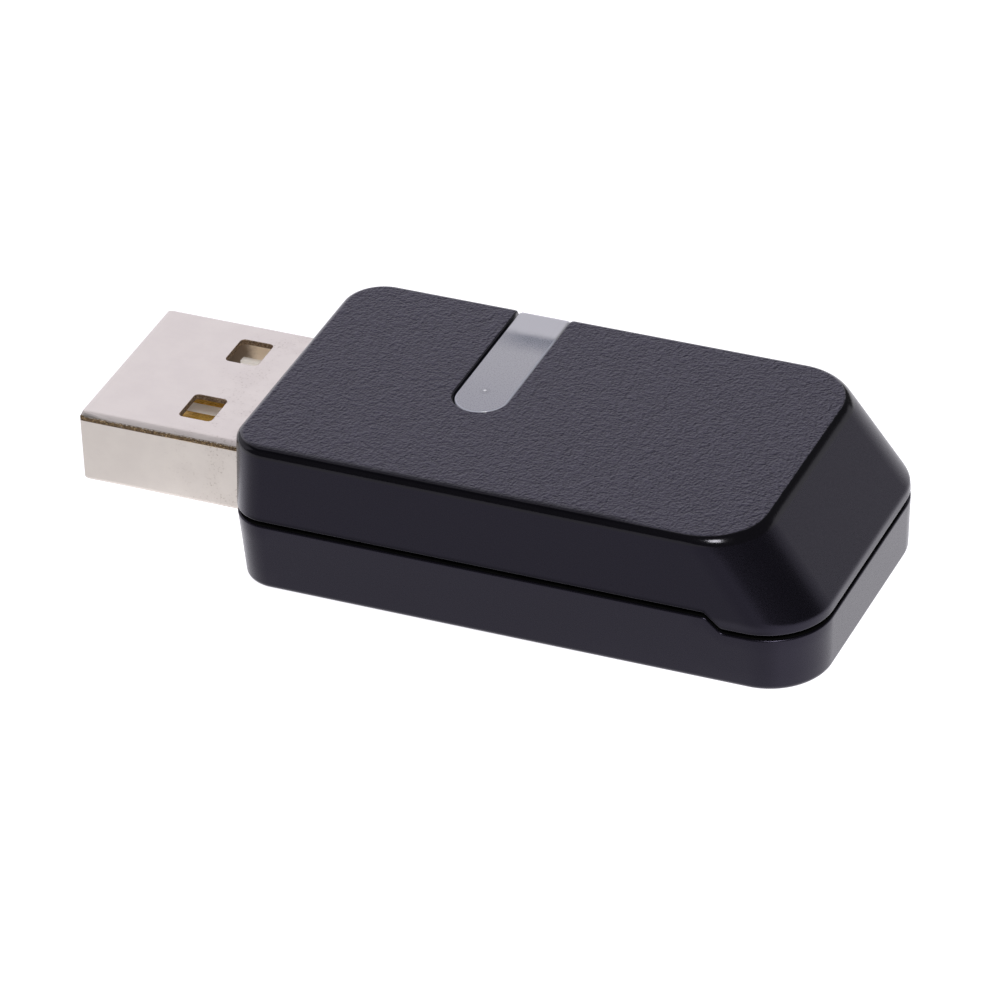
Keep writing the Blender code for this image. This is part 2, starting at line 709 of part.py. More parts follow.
def settle_meshes():
    """Replaces each part's modifiers with their result, so that the edges they cut are shaded too."""
    graph = bpy.context.evaluated_depsgraph_get()
    modified = [obj for obj in PARTS.objects if obj.modifiers]
    results = [bpy.data.meshes.new_from_object(obj.evaluated_get(graph)) for obj in modified]
    for obj, mesh in zip(modified, results):
        obj.modifiers.clear()
        obj.data = mesh
        mesh.name = obj.name
        shade(mesh)


def build():
    lower_case()
    upper_case()
    light_pipe()
    plug_shell()
    plug_insulator()
    contacts()
    circuit_board()
    shield_frame()
    shield_lid()
    radio_parts()
    antennas()
    power_parts()
    decoupling_capacitors()
    settle_meshes()


build()
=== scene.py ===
"""Looks of the USB wifi adapter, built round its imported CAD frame.

Pieces are modelled in millimetres, with x from the plug's tip and y and z as in the frame, and are moved
into the frame's metres when they are finished. The patterns of the materials are in millimetres of the
frame itself, where x is offset by TIP / MM. The two case halves, the light pipe and the plug's shell are
fine meshes that stand for their CAD nodes, and the torn edge at the shell's seam is a piece of its own.
Every other node keeps its CAD shape, with rounded edges.
"""

import json
import math

import bmesh
import bpy
from mathutils import Matrix, Vector, noise


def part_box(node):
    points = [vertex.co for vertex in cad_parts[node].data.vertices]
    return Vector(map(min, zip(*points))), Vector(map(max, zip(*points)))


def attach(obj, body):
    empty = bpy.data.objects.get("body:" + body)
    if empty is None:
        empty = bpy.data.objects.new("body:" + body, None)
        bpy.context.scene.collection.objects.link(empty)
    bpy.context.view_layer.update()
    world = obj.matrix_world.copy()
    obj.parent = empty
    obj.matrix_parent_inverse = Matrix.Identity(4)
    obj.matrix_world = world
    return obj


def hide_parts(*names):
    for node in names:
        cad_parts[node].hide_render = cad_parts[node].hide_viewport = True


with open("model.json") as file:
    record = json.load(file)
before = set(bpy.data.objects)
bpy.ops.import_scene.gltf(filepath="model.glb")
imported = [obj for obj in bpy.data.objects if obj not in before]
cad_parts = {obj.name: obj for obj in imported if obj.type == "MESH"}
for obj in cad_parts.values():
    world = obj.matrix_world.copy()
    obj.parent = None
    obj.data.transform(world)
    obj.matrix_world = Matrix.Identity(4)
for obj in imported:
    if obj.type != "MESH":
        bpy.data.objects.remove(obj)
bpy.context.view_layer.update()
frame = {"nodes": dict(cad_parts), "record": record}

MM = 0.001
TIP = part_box("plug_shell")[0].x
TO_FRAME = Matrix.Translation((TIP, 0, 0)) @ Matrix.Scale(MM, 4)


def span(node):
    """Lowest and highest corners of a CAD node, in this script's millimetres."""
    to_local = TO_FRAME.inverted()
    low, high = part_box(node)
    return to_local @ low, to_local @ high


# Case halves. Blocks that are added to a half or to the pipe reach OVERLAP into it
CASE_FRONT = span("upper_case")[0].x
CASE_REAR = span("lower_case")[1].x
CASE_HEIGHT = span("upper_case")[1].z
CASE_HALF_WIDTH = span("lower_case")[1].y
TOP_EDGE = 0.45
BOTTOM_EDGE = 0.4
SLOPE_FOOT = 4.35
SLOPE_FOOT_SOFTNESS = 0.12
SLOPE_STRETCH = 1.23
SLOPE_EDGE_SHARE = 0.55
WALL = 1.1
CEILING_EDGE = 0.2
HOLLOW_TAPER_TOP = 2.4
HOLLOW_TAPER = 0.25
SEAT_GAP = 0.05
OVERLAP = 0.2

# The gap between the halves, which jogs down near the rear, and the lip inside it. The ceiling of the lip's
# rebate runs on to CORE_INSET, where the hollow is cut away later
PARTING_FRONT = 4.53
PARTING_REAR = 3.65
PARTING_GAP = 0.3
PARTING_EDGE = 0.12
JOG_START = 39.2
JOG_END = 40.1
JOG_SOFTNESS = 0.06
LIP_INSET = 0.6
LIP_HEIGHT = 0.8
CORE_INSET = 2.2

# Case outline as (height, value) pairs, read by straight interpolation
FRONT_FACE = ((0.0, CASE_FRONT + 0.25), (PARTING_FRONT, CASE_FRONT), (CASE_HEIGHT, CASE_FRONT + 0.1))
REAR_FACE = (
    (0.0, CASE_REAR - 0.17),
    (PARTING_REAR, CASE_REAR),
    (SLOPE_FOOT, CASE_REAR - 0.05),
    (CASE_HEIGHT, CASE_REAR - 3.59),
)
HALF_WIDTH = ((0.0, 9.23), (PARTING_FRONT, 9.57), (CASE_HEIGHT, 9.34))
FRONT_CORNER = ((0.0, 2.1), (CASE_HEIGHT, 2.4))
REAR_CORNER = ((0.0, 3.55), (SLOPE_FOOT, 3.8), (CASE_HEIGHT, 3.75))
TOP_BORDER = TOP_EDGE - HALF_WIDTH[-1][1]

# Stations of the case's outline: fixed in the middle of a straight side, and fine round the jog
FIXED_FIRST = 13.6
FIXED_LAST = 37.3
FIXED_COUNT = 30
FINE_STEP = 0.1
FINE_MARGIN = 0.4
BEFORE_FINE = 38.2
AFTER_FINE = 41.0
LOW_STRAIGHT_END = CASE_REAR - 3.85
END_STATIONS = 9
CORNER_STEPS = 22

# Rings on a rounded edge, and heights of the rings between the slot's floor and the top edge
EDGE_STEPS = 9
MIDDLE_HEIGHTS = (7.2, 8.0)

# Ribs and posts inside the case
RIB_HALF = 0.4
LOWER_RIBS = (21.0, 37.0)
LOWER_RIB_REACH = 7.0
PLUG_RIB = (13.0, 13.8)
PLUG_RIB_REACH = 5.5
PIN_X = 41.3
PIN_SHOULDER_RADIUS = 1.35
PIN_RADIUS = 0.75
PIN_TOP = 4.95
UPPER_POSTS = (27.5, 37.2)
UPPER_POST_HALF = 0.5
UPPER_POST_Y = 7.4
BOARD_PLAY = 0.03

# Plug
PLUG_BOTTOM = span("plug_shell")[0].z
PLUG_TOP = span("plug_shell")[1].z
PLUG_HALF_WIDTH = span("plug_shell")[1].y
SHELL_REAR = span("plug_shell")[1].x
SHEET = 0.3
SHELL_BEND = 0.36
MOUTH_LENGTH = 0.3
MOUTH_INSET = 0.06
OPENING_RIM = 0.14
OPENING_DEPTH = 3.2
TAB_LENGTH = 2.5
TAB_BOTTOM = 3.6
TAB_TOP = 4.4
WINDOW_START = 5.38
WINDOW_SIZE = (1.97, 2.35)
WINDOW_CENTRE = 3.1
WINDOW_CORNER = 0.25

# The top sheet's rolled-over edge at the shell's seam
SEAM_TOP = PLUG_TOP - 0.45
ROLL_RADIUS = 0.5
ROLL_ANGLE = math.radians(20)
ROLL_FLAT = 0.37
ROLL_EDGE_Y = -PLUG_HALF_WIDTH + 0.03
ROLL_EDGE_Z = PLUG_TOP - ROLL_RADIUS * (1 - math.cos(ROLL_ANGLE)) - ROLL_FLAT * math.sin(ROLL_ANGLE)
TORN_COLUMNS = 230
TORN_ROWS = 7
TORN_DEPTH = 0.14

# Light pipe and its slot
FLANGE_REACH = 0.7
FLANGE_THICKNESS = 0.6
FLANGE_ENDS = (-2.4, 7.6)
PIPE_START = span("light_pipe")[0].x + FLANGE_REACH
PIPE_END = span("light_pipe")[1].x - FLANGE_REACH
PIPE_TOP = span("light_pipe")[1].z
PIPE_NEAR_END = -1.55
PIPE_RECESS = CASE_HEIGHT - PIPE_TOP
PIPE_THICKNESS = 1.35
PIPE_BOTTOM = 6.45
PIPE_EDGE = 0.14
PIPE_FOOT_HALF = (1.2, 0.9)
PIPE_FOOT_CLEARANCE = 0.2
GATE_CENTRE = ((PIPE_START + PIPE_END) / 2 - 0.1, 0.62)
GATE_RING = ((0.3, -0.05), (0.3, -0.004), (0.27, 0.006), (0.22, 0.006), (0.19, -0.002), (0.13, 0.0))
GATE_PROFILE = (*GATE_RING, (0.11, 0.025), (0.05, 0.035))
SLOT_START = 20.55
SLOT_END = 23.83
SLOT_NEAR_END = -1.62
SLOT_BOTTOM = 6.4
SLOT_EDGE = 0.1
MOUTH_CORNER = 0.22


# ---- mesh tools


def arc(centre, radius, start, stop, steps):
    """Points of a round corner, both ends included, with the angles in degrees."""
    angles = [math.radians(start + (stop - start) * step / steps) for step in range(steps + 1)]
    return [(centre[0] + radius * math.cos(a), centre[1] + radius * math.sin(a)) for a in angles]


def spread(start, stop, count):
    """Evenly spaced values between two ends, neither of them included."""
    return [start + (stop - start) * (step + 1) / (count + 1) for step in range(count)]


def rounded_rectangle(low, high, radius, steps):
    """Anticlockwise outline of a rectangle with round corners."""
    return (
        arc((high[0] - radius, low[1] + radius), radius, -90, 0, steps)
        + arc((high[0] - radius, high[1] - radius), radius, 0, 90, steps)
        + arc((low[0] + radius, high[1] - radius), radius, 90, 180, steps)
        + arc((low[0] + radius, low[1] + radius), radius, 180, 270, steps)
    )


def skin(bm, rings, material=0):
    """Adds faces between following rings. Where two share a vertex, the face narrows or is left out."""
    for lower, upper in zip(rings, rings[1:]):
        for index in range(len(lower)):
            following = (index + 1) % len(lower)
            corners = [lower[index], lower[following], upper[following], upper[index]]
            corners = [vert for place, vert in enumerate(corners) if vert not in corners[:place]]
            if len(corners) > 2:
                bm.faces.new(corners).material_index = material


def add_ring(bm, points):
    return [bm.verts.new(point) for point in points]


def loft(points, material=0, inside_from=None):
    """A closed bmesh through rings of equally many points, in the next material after ring inside_from."""
    bm = bmesh.new()
    rings = [add_ring(bm, ring) for ring in points]
    bm.faces.new(rings[0][::-1]).material_index = material
    if inside_from is None:
        skin(bm, rings, material)
    else:
        skin(bm, rings[: inside_from + 1], material)
        material += 1
        skin(bm, rings[inside_from:], material)
    bm.faces.new(rings[-1]).material_index = material
    bmesh.ops.recalc_face_normals(bm, faces=bm.faces)
    return bm


def add_block(bm, low, high, rounding=0.08):
    """Adds a box with rounded edges as a body of its own."""
    middle = [(a + b) / 2 for a, b in zip(low, high)]
    size = [b - a for a, b in zip(low, high)]
    matrix = Matrix.Translation(middle) @ Matrix.Diagonal((*size, 1))
    cube = bmesh.ops.create_cube(bm, size=1, matrix=matrix)
    edges = list(dict.fromkeys(edge for vert in cube["verts"] for edge in vert.link_edges))
    bmesh.ops.bevel(bm, geom=edges, offset=rounding, segments=2, affect="EDGES", profile=0.5)


def add_pin(bm, centre, radius, bottom, top, rounding=0.08):
    """Adds an upright pin with rounded rims as a body of its own."""
    matrix = Matrix.Translation((*centre, (bottom + top) / 2))
    cone = bmesh.ops.create_cone(
        bm, cap_ends=True, segments=40, radius1=radius, radius2=radius, depth=top - bottom, matrix=matrix
    )
    edges = dict.fromkeys(edge for vert in cone["verts"] for edge in vert.link_edges)
    rims = [edge for edge in edges if edge.calc_face_angle() > 1]
    bmesh.ops.bevel(bm, geom=rims, offset=rounding, segments=2, affect="EDGES", profile=0.5)


def mesh_object(bm, name, materials):
    """A new object from a bmesh, which it frees."""
    mesh = bpy.data.meshes.new(name)
    bm.to_mesh(mesh)
    bm.free()
    for material in materials:
        mesh.materials.append(material)
    obj = bpy.data.objects.new(name, mesh)
    bpy.context.scene.collection.objects.link(obj)
    return obj


def bmesh_of(obj):
    bm = bmesh.new()
    bm.from_mesh(obj.data)
    return bm


def store(bm, obj):
    bm.to_mesh(obj.data)
    bm.free()


def carve(obj, *cutters):
    """Cuts objects away from obj, and removes them."""
    for cutter in cutters:
        modifier = obj.modifiers.new(cutter.name, "BOOLEAN")
        modifier.operation = "DIFFERENCE"
        modifier.solver = "EXACT"
        modifier.object = cutter
    bpy.context.view_layer.update()
    graph = bpy.context.evaluated_depsgraph_get()
    result = bpy.data.meshes.new_from_object(obj.evaluated_get(graph))
    obj.modifiers.clear()
    obj.data = result
    for cutter in cutters:
        bpy.data.objects.remove(cutter, do_unlink=True)


def close_slivers(obj, shortest=0.0005):
    """Removes the edges without length and the faces without area that the cuts leave."""
    bm = bmesh_of(obj)
    bmesh.ops.remove_doubles(bm, verts=bm.verts, dist=shortest)
    bmesh.ops.dissolve_degenerate(bm, dist=shortest, edges=bm.edges)
    store(bm, obj)


def shade(mesh, angle=35):
    """Smooth shading, with sharp edges above an angle in degrees."""
    mesh.shade_smooth()
    mesh.set_sharp_from_angle(angle=math.radians(angle))


def weigh_normals(obj):
    """Keeps flat faces flat beside their rounded edges."""
    modifier = obj.modifiers.new("flat_faces", "WEIGHTED_NORMAL")
    modifier.mode = "FACE_AREA"
    modifier.weight = 100
    modifier.keep_sharp = True


def finish_piece(obj, node):
    """Moves a piece into the frame, where it rides on the root and stands for its CAD node, if any."""
    close_slivers(obj)
    obj.data.transform(TO_FRAME)
    shade(obj.data)
    weigh_normals(obj)
    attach(obj, "root")
    if node is not None:
        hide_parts(node)


# ---- materials


class Shading:
    """A node material whose patterns are laid out in millimetres of the object."""

    def __init__(self, name):
        self.material = bpy.data.materials.new(name)
        self.material.use_nodes = True
        self.tree = self.material.node_tree
        self.shader = self.tree.nodes["Principled BSDF"]
        self.place = self.vector("SCALE", self.node("ShaderNodeTexCoord").outputs["Object"], scale=1 / MM)

    def node(self, kind, inputs=(), **settings):
        """A new node with settings, fed with the inputs that aren't None."""
        made = self.tree.nodes.new(kind)
        for key, value in settings.items():
            setattr(made, key, value)
        for key, value in dict(inputs).items():
            if value is not None:
                self.feed(made.inputs[key], value)
        return made

    def feed(self, socket, value):
        if isinstance(value, bpy.types.NodeSocket):
            self.tree.links.new(value, socket)
        else:
            socket.default_value = value

    def set(self, **inputs):
        """Feeds the Principled shader's inputs, named with _ for a space."""
        for key, value in inputs.items():
            self.feed(self.shader.inputs[key.replace("_", " ")], value)

    def math(self, operation, *values):
        return self.node("ShaderNodeMath", enumerate(values), operation=operation).outputs[0]

    def vector(self, operation, first, second=None, scale=None):
        inputs = {0: first, 1: second, "Scale": scale}
        return self.node("ShaderNodeVectorMath", inputs, operation=operation).outputs[0]

    def noise(self, per_mm, detail=2.0, roughness=0.5, distortion=0.0, place=None, output="Fac"):
        inputs = {"Vector": place or self.place, "Scale": per_mm, "Detail": detail}
        inputs |= {"Roughness": roughness, "Distortion": distortion}
        return self.node("ShaderNodeTexNoise", inputs).outputs[output]

    def cells(self, per_mm, smoothness, place):
        inputs = {"Vector": place, "Scale": per_mm, "Smoothness": smoothness}
        return self.node("ShaderNodeTexVoronoi", inputs, feature="SMOOTH_F1").outputs["Distance"]

    def axis(self, name):
        return self.node("ShaderNodeSeparateXYZ", {"Vector": self.place}).outputs[name]

    def distance(self, spot):
        inputs = {0: self.place, 1: spot}
        return self.node("ShaderNodeVectorMath", inputs, operation="DISTANCE").outputs["Value"]

    def range(self, value, low, high, out_low=0.0, out_high=1.0, smooth=True):
        """Maps low..high to out_low..out_high, and holds the ends. The low end may be the larger one."""
        inputs = {"Value": value, "From Min": low, "From Max": high, "To Min": out_low, "To Max": out_high}
        kind = "SMOOTHSTEP" if smooth else "LINEAR"
        return self.node("ShaderNodeMapRange", inputs, interpolation_type=kind).outputs["Result"]

    def mix(self, share, first, second):
        made = self.node("ShaderNodeMix", data_type="RGBA")
        self.feed(made.inputs["Factor"], share)
        for key, colour in ((6, first), (7, second)):
            self.feed(made.inputs[key], (*colour, 1) if isinstance(colour, tuple) else colour)
        return made.outputs[2]

    def bump(self, height, depth_mm, strength, normal=None):
        inputs = {"Strength": strength, "Distance": depth_mm * MM, "Height": height, "Normal": normal}
        return self.node("ShaderNodeBump", inputs).outputs["Normal"]


def case_grain(look, swell):
    """Height of the spark-eroded grain: pebbles and folds on a slow swell."""
    wander = look.noise(3.0, output="Color")
    place = look.vector("ADD", look.place, look.vector("SCALE", wander, scale=0.12))
    pebbles = look.cells(6.0, 0.6, place)
    folds = look.noise(5.6, 3.0, 0.6, 0.3, place)
    grain = look.math("ADD", look.math("MULTIPLY", pebbles, 0.6), look.math("MULTIPLY", folds, 0.8))
    return look.math("ADD", grain, look.math("MULTIPLY", swell, 0.7))


def shaded_near_border(look, swell):
    """Mask of the top's less grained border along its near edge, which is also painted darker as shade, and
    which fades out before the rear.
    """
    fade_start, fade_end = 33.0 + TIP / MM, 37.5 + TIP / MM
    past_border = look.math("ADD", look.axis("Y"), look.math("MULTIPLY", swell, 0.16))
    border = look.range(past_border, TOP_BORDER + 0.5, TOP_BORDER + 0.02)
    border = look.math("MULTIPLY", border, look.range(look.axis("X"), fade_end, fade_start))
    return look.math("MULTIPLY", border, look.range(look.axis("Z"), CASE_HEIGHT - 0.16, CASE_HEIGHT - 0.06))


def case_gloss(look, on_top, border):
    """Specular level: duller on the long sides, above the gap between the halves and on the near border."""
    z = look.axis("Z")
    facing = look.node("ShaderNodeSeparateXYZ", {"Vector": look.node("ShaderNodeTexCoord").outputs["Normal"]})
    on_side = look.range(look.math("ABSOLUTE", facing.outputs["Y"]), 0.85, 0.98)
    below_parting = look.range(z, PARTING_FRONT, PARTING_FRONT - 0.3)
    side_loss = look.range(below_parting, 0, 1, 0.205, 0.125)
    gloss = look.math("SUBTRACT", 0.5, look.math("MULTIPLY", on_side, side_loss))
    gloss = look.math("ADD", gloss, look.math("MULTIPLY", on_top, 0.08))
    border_loss = look.range(on_top, 0, 1, 0.33, 0.46)
    gloss = look.math("SUBTRACT", gloss, look.math("MULTIPLY", border, border_loss))
    jog = (JOG_START + TIP / MM, JOG_END + TIP / MM)
    parting = look.range(look.axis("X"), *jog, PARTING_FRONT, PARTING_REAR, smooth=False)
    above = look.math("SUBTRACT", z, parting)
    by_gap = look.math("MULTIPLY", look.range(above, 0.5, PARTING_GAP / 2), look.range(above, 0.0, 0.02))
    return look.math("SUBTRACT", gloss, look.math("MULTIPLY", look.math("MULTIPLY", by_gap, on_side), 0.2))


def case_plastic():
    """Charcoal plastic: a spark-eroded grain on the flat top, painted shade along the top's near border, and
    satin walls.
    """
    look = Shading("case_plastic")
    z = look.axis("Z")
    on_top = look.range(z, CASE_HEIGHT - 0.025, CASE_HEIGHT - 0.002)
    on_fillet = look.range(z, CASE_HEIGHT - TOP_EDGE - 0.1, CASE_HEIGHT - TOP_EDGE + 0.05)
    swell = look.noise(2.4, 2.0, 0.5)
    grain = case_grain(look, swell)
    border = shaded_near_border(look, swell)
    satin = look.noise(14.0, 2.0, 0.6)
    grained = look.math("MULTIPLY", on_top, look.math("SUBTRACT", 0.95, look.math("MULTIPLY", border, 0.6)))
    normal = look.bump(satin, 0.0045, 0.5, look.bump(grain, 0.1, grained))
    drift = look.noise(0.25, 2.0, 0.5)
    colour = look.mix(drift, (0.002, 0.0018, 0.003), (0.003, 0.0026, 0.0043))
    top_colour = look.mix(look.range(grain, 0.8, 1.3), (0.0035, 0.0032, 0.005), (0.0105, 0.0095, 0.0165))
    # The near border keeps the darker wall colour instead of the top's: painted shade along the near edge.
    colour = look.mix(look.math("SUBTRACT", on_top, border), colour, top_colour)
    rough = look.range(satin, 0.3, 0.7, 0.24, 0.31)
    rough = look.math("SUBTRACT", rough, look.math("MULTIPLY", on_fillet, 0.12))
    rough = look.math("ADD", rough, look.math("MULTIPLY", on_top, 0.26))
    tint = look.mix(look.math("SUBTRACT", on_fillet, on_top), (0.76, 0.7, 1.0), (0.88, 0.86, 0.95))
    look.set(Base_Color=colour, Roughness=rough, IOR=1.42, Specular_Tint=tint, Normal=normal)
    look.set(Specular_IOR_Level=case_gloss(look, on_top, border))
    return look.material


def frosted_plastic():
    """Frosted plastic with painted light: a band of painted shadow over the far wall's inner edge, painted
    light towards the far side, and painted highlights on its rim and on its gate mark.
    """
    look = Shading("light_pipe_plastic")
    x, y = look.axis("X"), look.axis("Y")
    ripple = look.math("MULTIPLY", look.noise(1.5, 3.0, 0.6), 0.4)
    along_pipe = look.math("ADD", y, ripple)
    across = look.range(x, PIPE_START + TIP / MM, PIPE_END + TIP / MM, smooth=False)
    # The band is a painted shadow of the case wall's edge under the pipe; past it the pipe is painted
    # lighter, as painted light.
    past_band = look.range(along_pipe, 6.75, 7.6)
    band = look.math("MULTIPLY", look.range(along_pipe, 4.9, 6.75), look.math("SUBTRACT", 1.0, past_band))
    band = look.math("MULTIPLY", band, look.range(across, -0.25, 0.6, 0.25, 1.0))
    # Painted light: the body grows lighter towards the far side.
    body = look.mix(look.range(y, -1.5, 4.5), (0.268, 0.268, 0.303), (0.312, 0.31, 0.337))
    colour = look.mix(band, body, (0.125, 0.135, 0.17))
    colour = look.mix(past_band, colour, (0.47, 0.465, 0.5))
    frost = look.noise(13.0, 3.0, 0.6)
    colour = look.mix(look.range(frost, 0.35, 0.65, 0.0, 0.14), colour, (0.5, 0.5, 0.53))
    # Painted highlight: the bright dot on the gate mark; a darker ring lies round it.
    from_gate = look.distance((GATE_CENTRE[0] + TIP / MM, GATE_CENTRE[1], PIPE_TOP))
    from_ring = look.math("ABSOLUTE", look.math("SUBTRACT", from_gate, 0.27))
    colour = look.mix(look.range(from_ring, 0.06, 0.0, 0.0, 0.3), colour, (0.16, 0.16, 0.18))
    colour = look.mix(look.range(from_gate, 0.13, 0.05), colour, (0.8, 0.8, 0.83))
    # Painted highlight on the rounded rim of the pipe's top, which is also glossier there.
    rim = look.math("SUBTRACT", look.range(look.axis("Z"), PIPE_TOP - 0.002, PIPE_TOP - 0.03), past_band)
    colour = look.mix(look.math("MULTIPLY", rim, 0.8), colour, (0.6, 0.61, 0.7))
    normal = look.bump(frost, 0.004, 0.6)
    rough = look.math("SUBTRACT", look.range(frost, 0.3, 0.7, 0.24, 0.34), look.math("MULTIPLY", rim, 0.14))
    look.set(Base_Color=colour, Roughness=rough, IOR=1.46, Normal=normal)
    look.set(Subsurface_Weight=0.12, Subsurface_Radius=(1.0, 1.0, 1.0), Subsurface_Scale=0.25 * MM)
    return look.material


def nickel():
    """Satin nickel plate: clouded, lined along the sheet, and smudged and pitted near the case."""
    look = Shading("plug_nickel")
    stretched = look.vector("MULTIPLY", look.place, (0.35, 6.0, 6.0))
    lines = look.noise(4.0, 2.0, 0.6, 0.0, stretched)
    cloud = look.noise(0.55, 3.0, 0.6)
    case_front = CASE_FRONT + TIP / MM
    near_case = look.range(look.axis("X"), case_front - 6.5, case_front - 1.0)
    patches = look.math("MULTIPLY", look.range(look.noise(0.8, 3.0), 0.4, 0.62), near_case)
    specks = look.range(look.noise(7.0, 3.0, 0.6), 0.56, 0.68)
    pits = look.math("MULTIPLY", specks, patches)
    colour = look.mix(look.range(cloud, 0.3, 0.7), (0.502, 0.465, 0.427), (0.53, 0.493, 0.45))
    colour = look.mix(look.math("MULTIPLY", pits, 0.75), colour, (0.24, 0.2, 0.17))
    colour = look.mix(look.math("MULTIPLY", patches, 0.2), colour, (0.4, 0.36, 0.33))
    rough = look.math("ADD", look.range(lines, 0.3, 0.7, 0.3, 0.34), look.math("MULTIPLY", cloud, 0.06))
    fine = look.noise(20.0, 2.0, 0.6)
    height = look.math("SUBTRACT", look.math("ADD", look.math("MULTIPLY", lines, 0.3), fine), pits)
    look.set(Base_Color=colour, Metallic=1.0, Roughness=rough, Normal=look.bump(height, 0.006, 0.6))
    return look.material


def sheared_steel(name, dark, light, glint):
    """A raw cut edge of the plug's sheet: brown and torn, with bright specks that are painted glints."""
    look = Shading(name)
    torn = look.noise(8.0, 3.0, 0.7, 0.3)
    speckle = look.noise(19.0, 2.0, 0.6)
    colour = look.mix(look.range(torn, 0.35, 0.65), dark, light)
    # Painted glints: bright specks in the glint colour.
    colour = look.mix(look.range(speckle, 0.58, 0.68), colour, glint)
    look.set(Base_Color=colour, Metallic=0.4, Roughness=look.range(torn, 0.3, 0.7, 0.5, 0.65))
    look.set(Specular_IOR_Level=0.2)
    look.set(Normal=look.bump(look.math("ADD", torn, speckle), 0.02, 0.7))
    return look.material


def shell_inside_painted_light():
    """The inside of the plug's shell: dull and tan, with a painted shadow that makes it browner towards the
    tip, and a faint painted glow.
    """
    look = Shading("plug_inside")
    # Painted shadow: darker towards the tip, where the window's front rim shades the inside.
    painted_shadow_edge = look.math("ADD", look.axis("X"), look.noise(1.6, 3.0, 0.6))
    grain = look.noise(7.0, 3.0, 0.6)
    window = WINDOW_START + TIP / MM
    share = look.range(painted_shadow_edge, window - 0.2, window + 0.8)
    colour = look.mix(share, (0.2, 0.15, 0.11), (0.95, 0.83, 0.68))
    colour = look.mix(look.math("MULTIPLY", grain, 0.25), colour, (0.5, 0.4, 0.3))
    look.set(Base_Color=colour, Metallic=0.2, Roughness=look.range(grain, 0.3, 0.7, 0.42, 0.55))
    # Painted light: a faint glow in the inside's own colour, though it is no lamp.
    look.set(Emission_Color=colour, Emission_Strength=0.12)
    look.set(Normal=look.bump(grain, 0.004, 0.6))
    return look.material


def gold_plate():
    """Gold-plated contacts, with fine lines along them."""
    look = Shading("contact_gold")
    stretched = look.vector("MULTIPLY", look.place, (0.5, 5.0, 5.0))
    lines = look.noise(5.0, 3.0, 0.6, 0.0, stretched)
    cloud = look.noise(1.2, 2.0)
    colour = look.mix(look.range(cloud, 0.35, 0.65), (0.74, 0.45, 0.07), (0.92, 0.61, 0.14))
    look.set(Base_Color=colour, Metallic=0.7, Roughness=look.range(lines, 0.3, 0.7, 0.24, 0.34))
    look.set(Normal=look.bump(lines, 0.004, 0.5))
    return look.material


def plain(name, first, second, roughness, per_mm=8.0, depth=0.004, metallic=0.0, ior=1.5, glow=0.0):
    """A material with a clouded colour, uneven gloss and a fine surface texture, and, where glow is given, a
    faint glow of its first colour, which is painted light.
    """
    look = Shading(name)
    cloud = look.noise(0.9, 3.0, 0.6)
    grain = look.noise(per_mm, 3.0, 0.6)
    look.set(Base_Color=look.mix(look.range(cloud, 0.3, 0.7), first, second), Metallic=metallic, IOR=ior)
    look.set(Roughness=look.range(grain, 0.3, 0.7, roughness - 0.05, roughness + 0.07))
    look.set(Normal=look.bump(grain, depth, 0.6), Emission_Color=(*first, 1.0), Emission_Strength=glow)
    return look.material


def solder_mask():
    """Green solder mask over etched tracks."""
    look = Shading("board_mask")
    tracks = look.node("ShaderNodeTexBrick", {"Vector": look.place, "Scale": 1.1, "Mortar Size": 0.12})
    fibre = look.noise(6.0, 3.0, 0.6)
    colour = look.mix(tracks.outputs["Fac"], (0.012, 0.1, 0.035), (0.03, 0.19, 0.07))
    look.set(Base_Color=look.mix(look.math("MULTIPLY", fibre, 0.3), colour, (0.05, 0.22, 0.1)), Roughness=0.3)
    height = look.math("ADD", tracks.outputs["Fac"], look.math("MULTIPLY", fibre, 0.2))
    look.set(Normal=look.bump(height, 0.02, 0.6))
    return look.material


CASE = case_plastic()
PIPE = frosted_plastic()
NICKEL = nickel()
SHEARED = sheared_steel("sheared_steel", (0.04, 0.024, 0.012), (0.14, 0.09, 0.046), (0.58, 0.42, 0.22))
PUNCHED = sheared_steel("punched_steel", (0.1, 0.065, 0.04), (0.27, 0.19, 0.125), (0.6, 0.5, 0.38))
GOLD = gold_plate()
# The plug's resin glows faintly: painted light on the tongue inside the plug.
RESIN = plain("plug_resin", (0.8, 0.78, 0.76), (0.87, 0.85, 0.83), 0.45, glow=0.065)
SHELL_INSIDE = shell_inside_painted_light()
CASE_INSIDE = plain("case_inside", (0.002, 0.002, 0.002), (0.004, 0.004, 0.004), 0.8, depth=0.01, ior=1.2)
CASE_LOOKS = [CASE, CASE_INSIDE]
SHELL_LOOKS = [NICKEL, PUNCHED, SHELL_INSIDE]
SLOT_LOOKS = {
    "contact_gold": GOLD,
    "plug_resin": RESIN,
    "board": solder_mask(),
    "tinned_steel": plain("tinned_steel", (0.5, 0.5, 0.5), (0.62, 0.62, 0.6), 0.35, 12.0, 0.003, 1.0),
    "copper": plain("copper_trace", (0.66, 0.33, 0.18), (0.8, 0.46, 0.28), 0.32, 12.0, 0.003, 1.0),
    "chip_resin": plain("chip_resin", (0.02, 0.02, 0.022), (0.035, 0.035, 0.04), 0.5, 10.0, 0.006),
    "ceramic": plain("capacitor_ceramic", (0.36, 0.25, 0.15), (0.52, 0.38, 0.25), 0.45, 10.0, 0.006),
    "resistor_glaze": plain("resistor_glaze", (0.02, 0.02, 0.03), (0.04, 0.04, 0.05), 0.25, 6.0, 0.003),
    "ferrite": plain("ferrite", (0.06, 0.06, 0.065), (0.11, 0.11, 0.115), 0.6, 12.0, 0.008),
    "led_lens": plain("led_lens", (0.75, 0.75, 0.62), (0.88, 0.88, 0.78), 0.2, 5.0, 0.002),
}


# ---- case


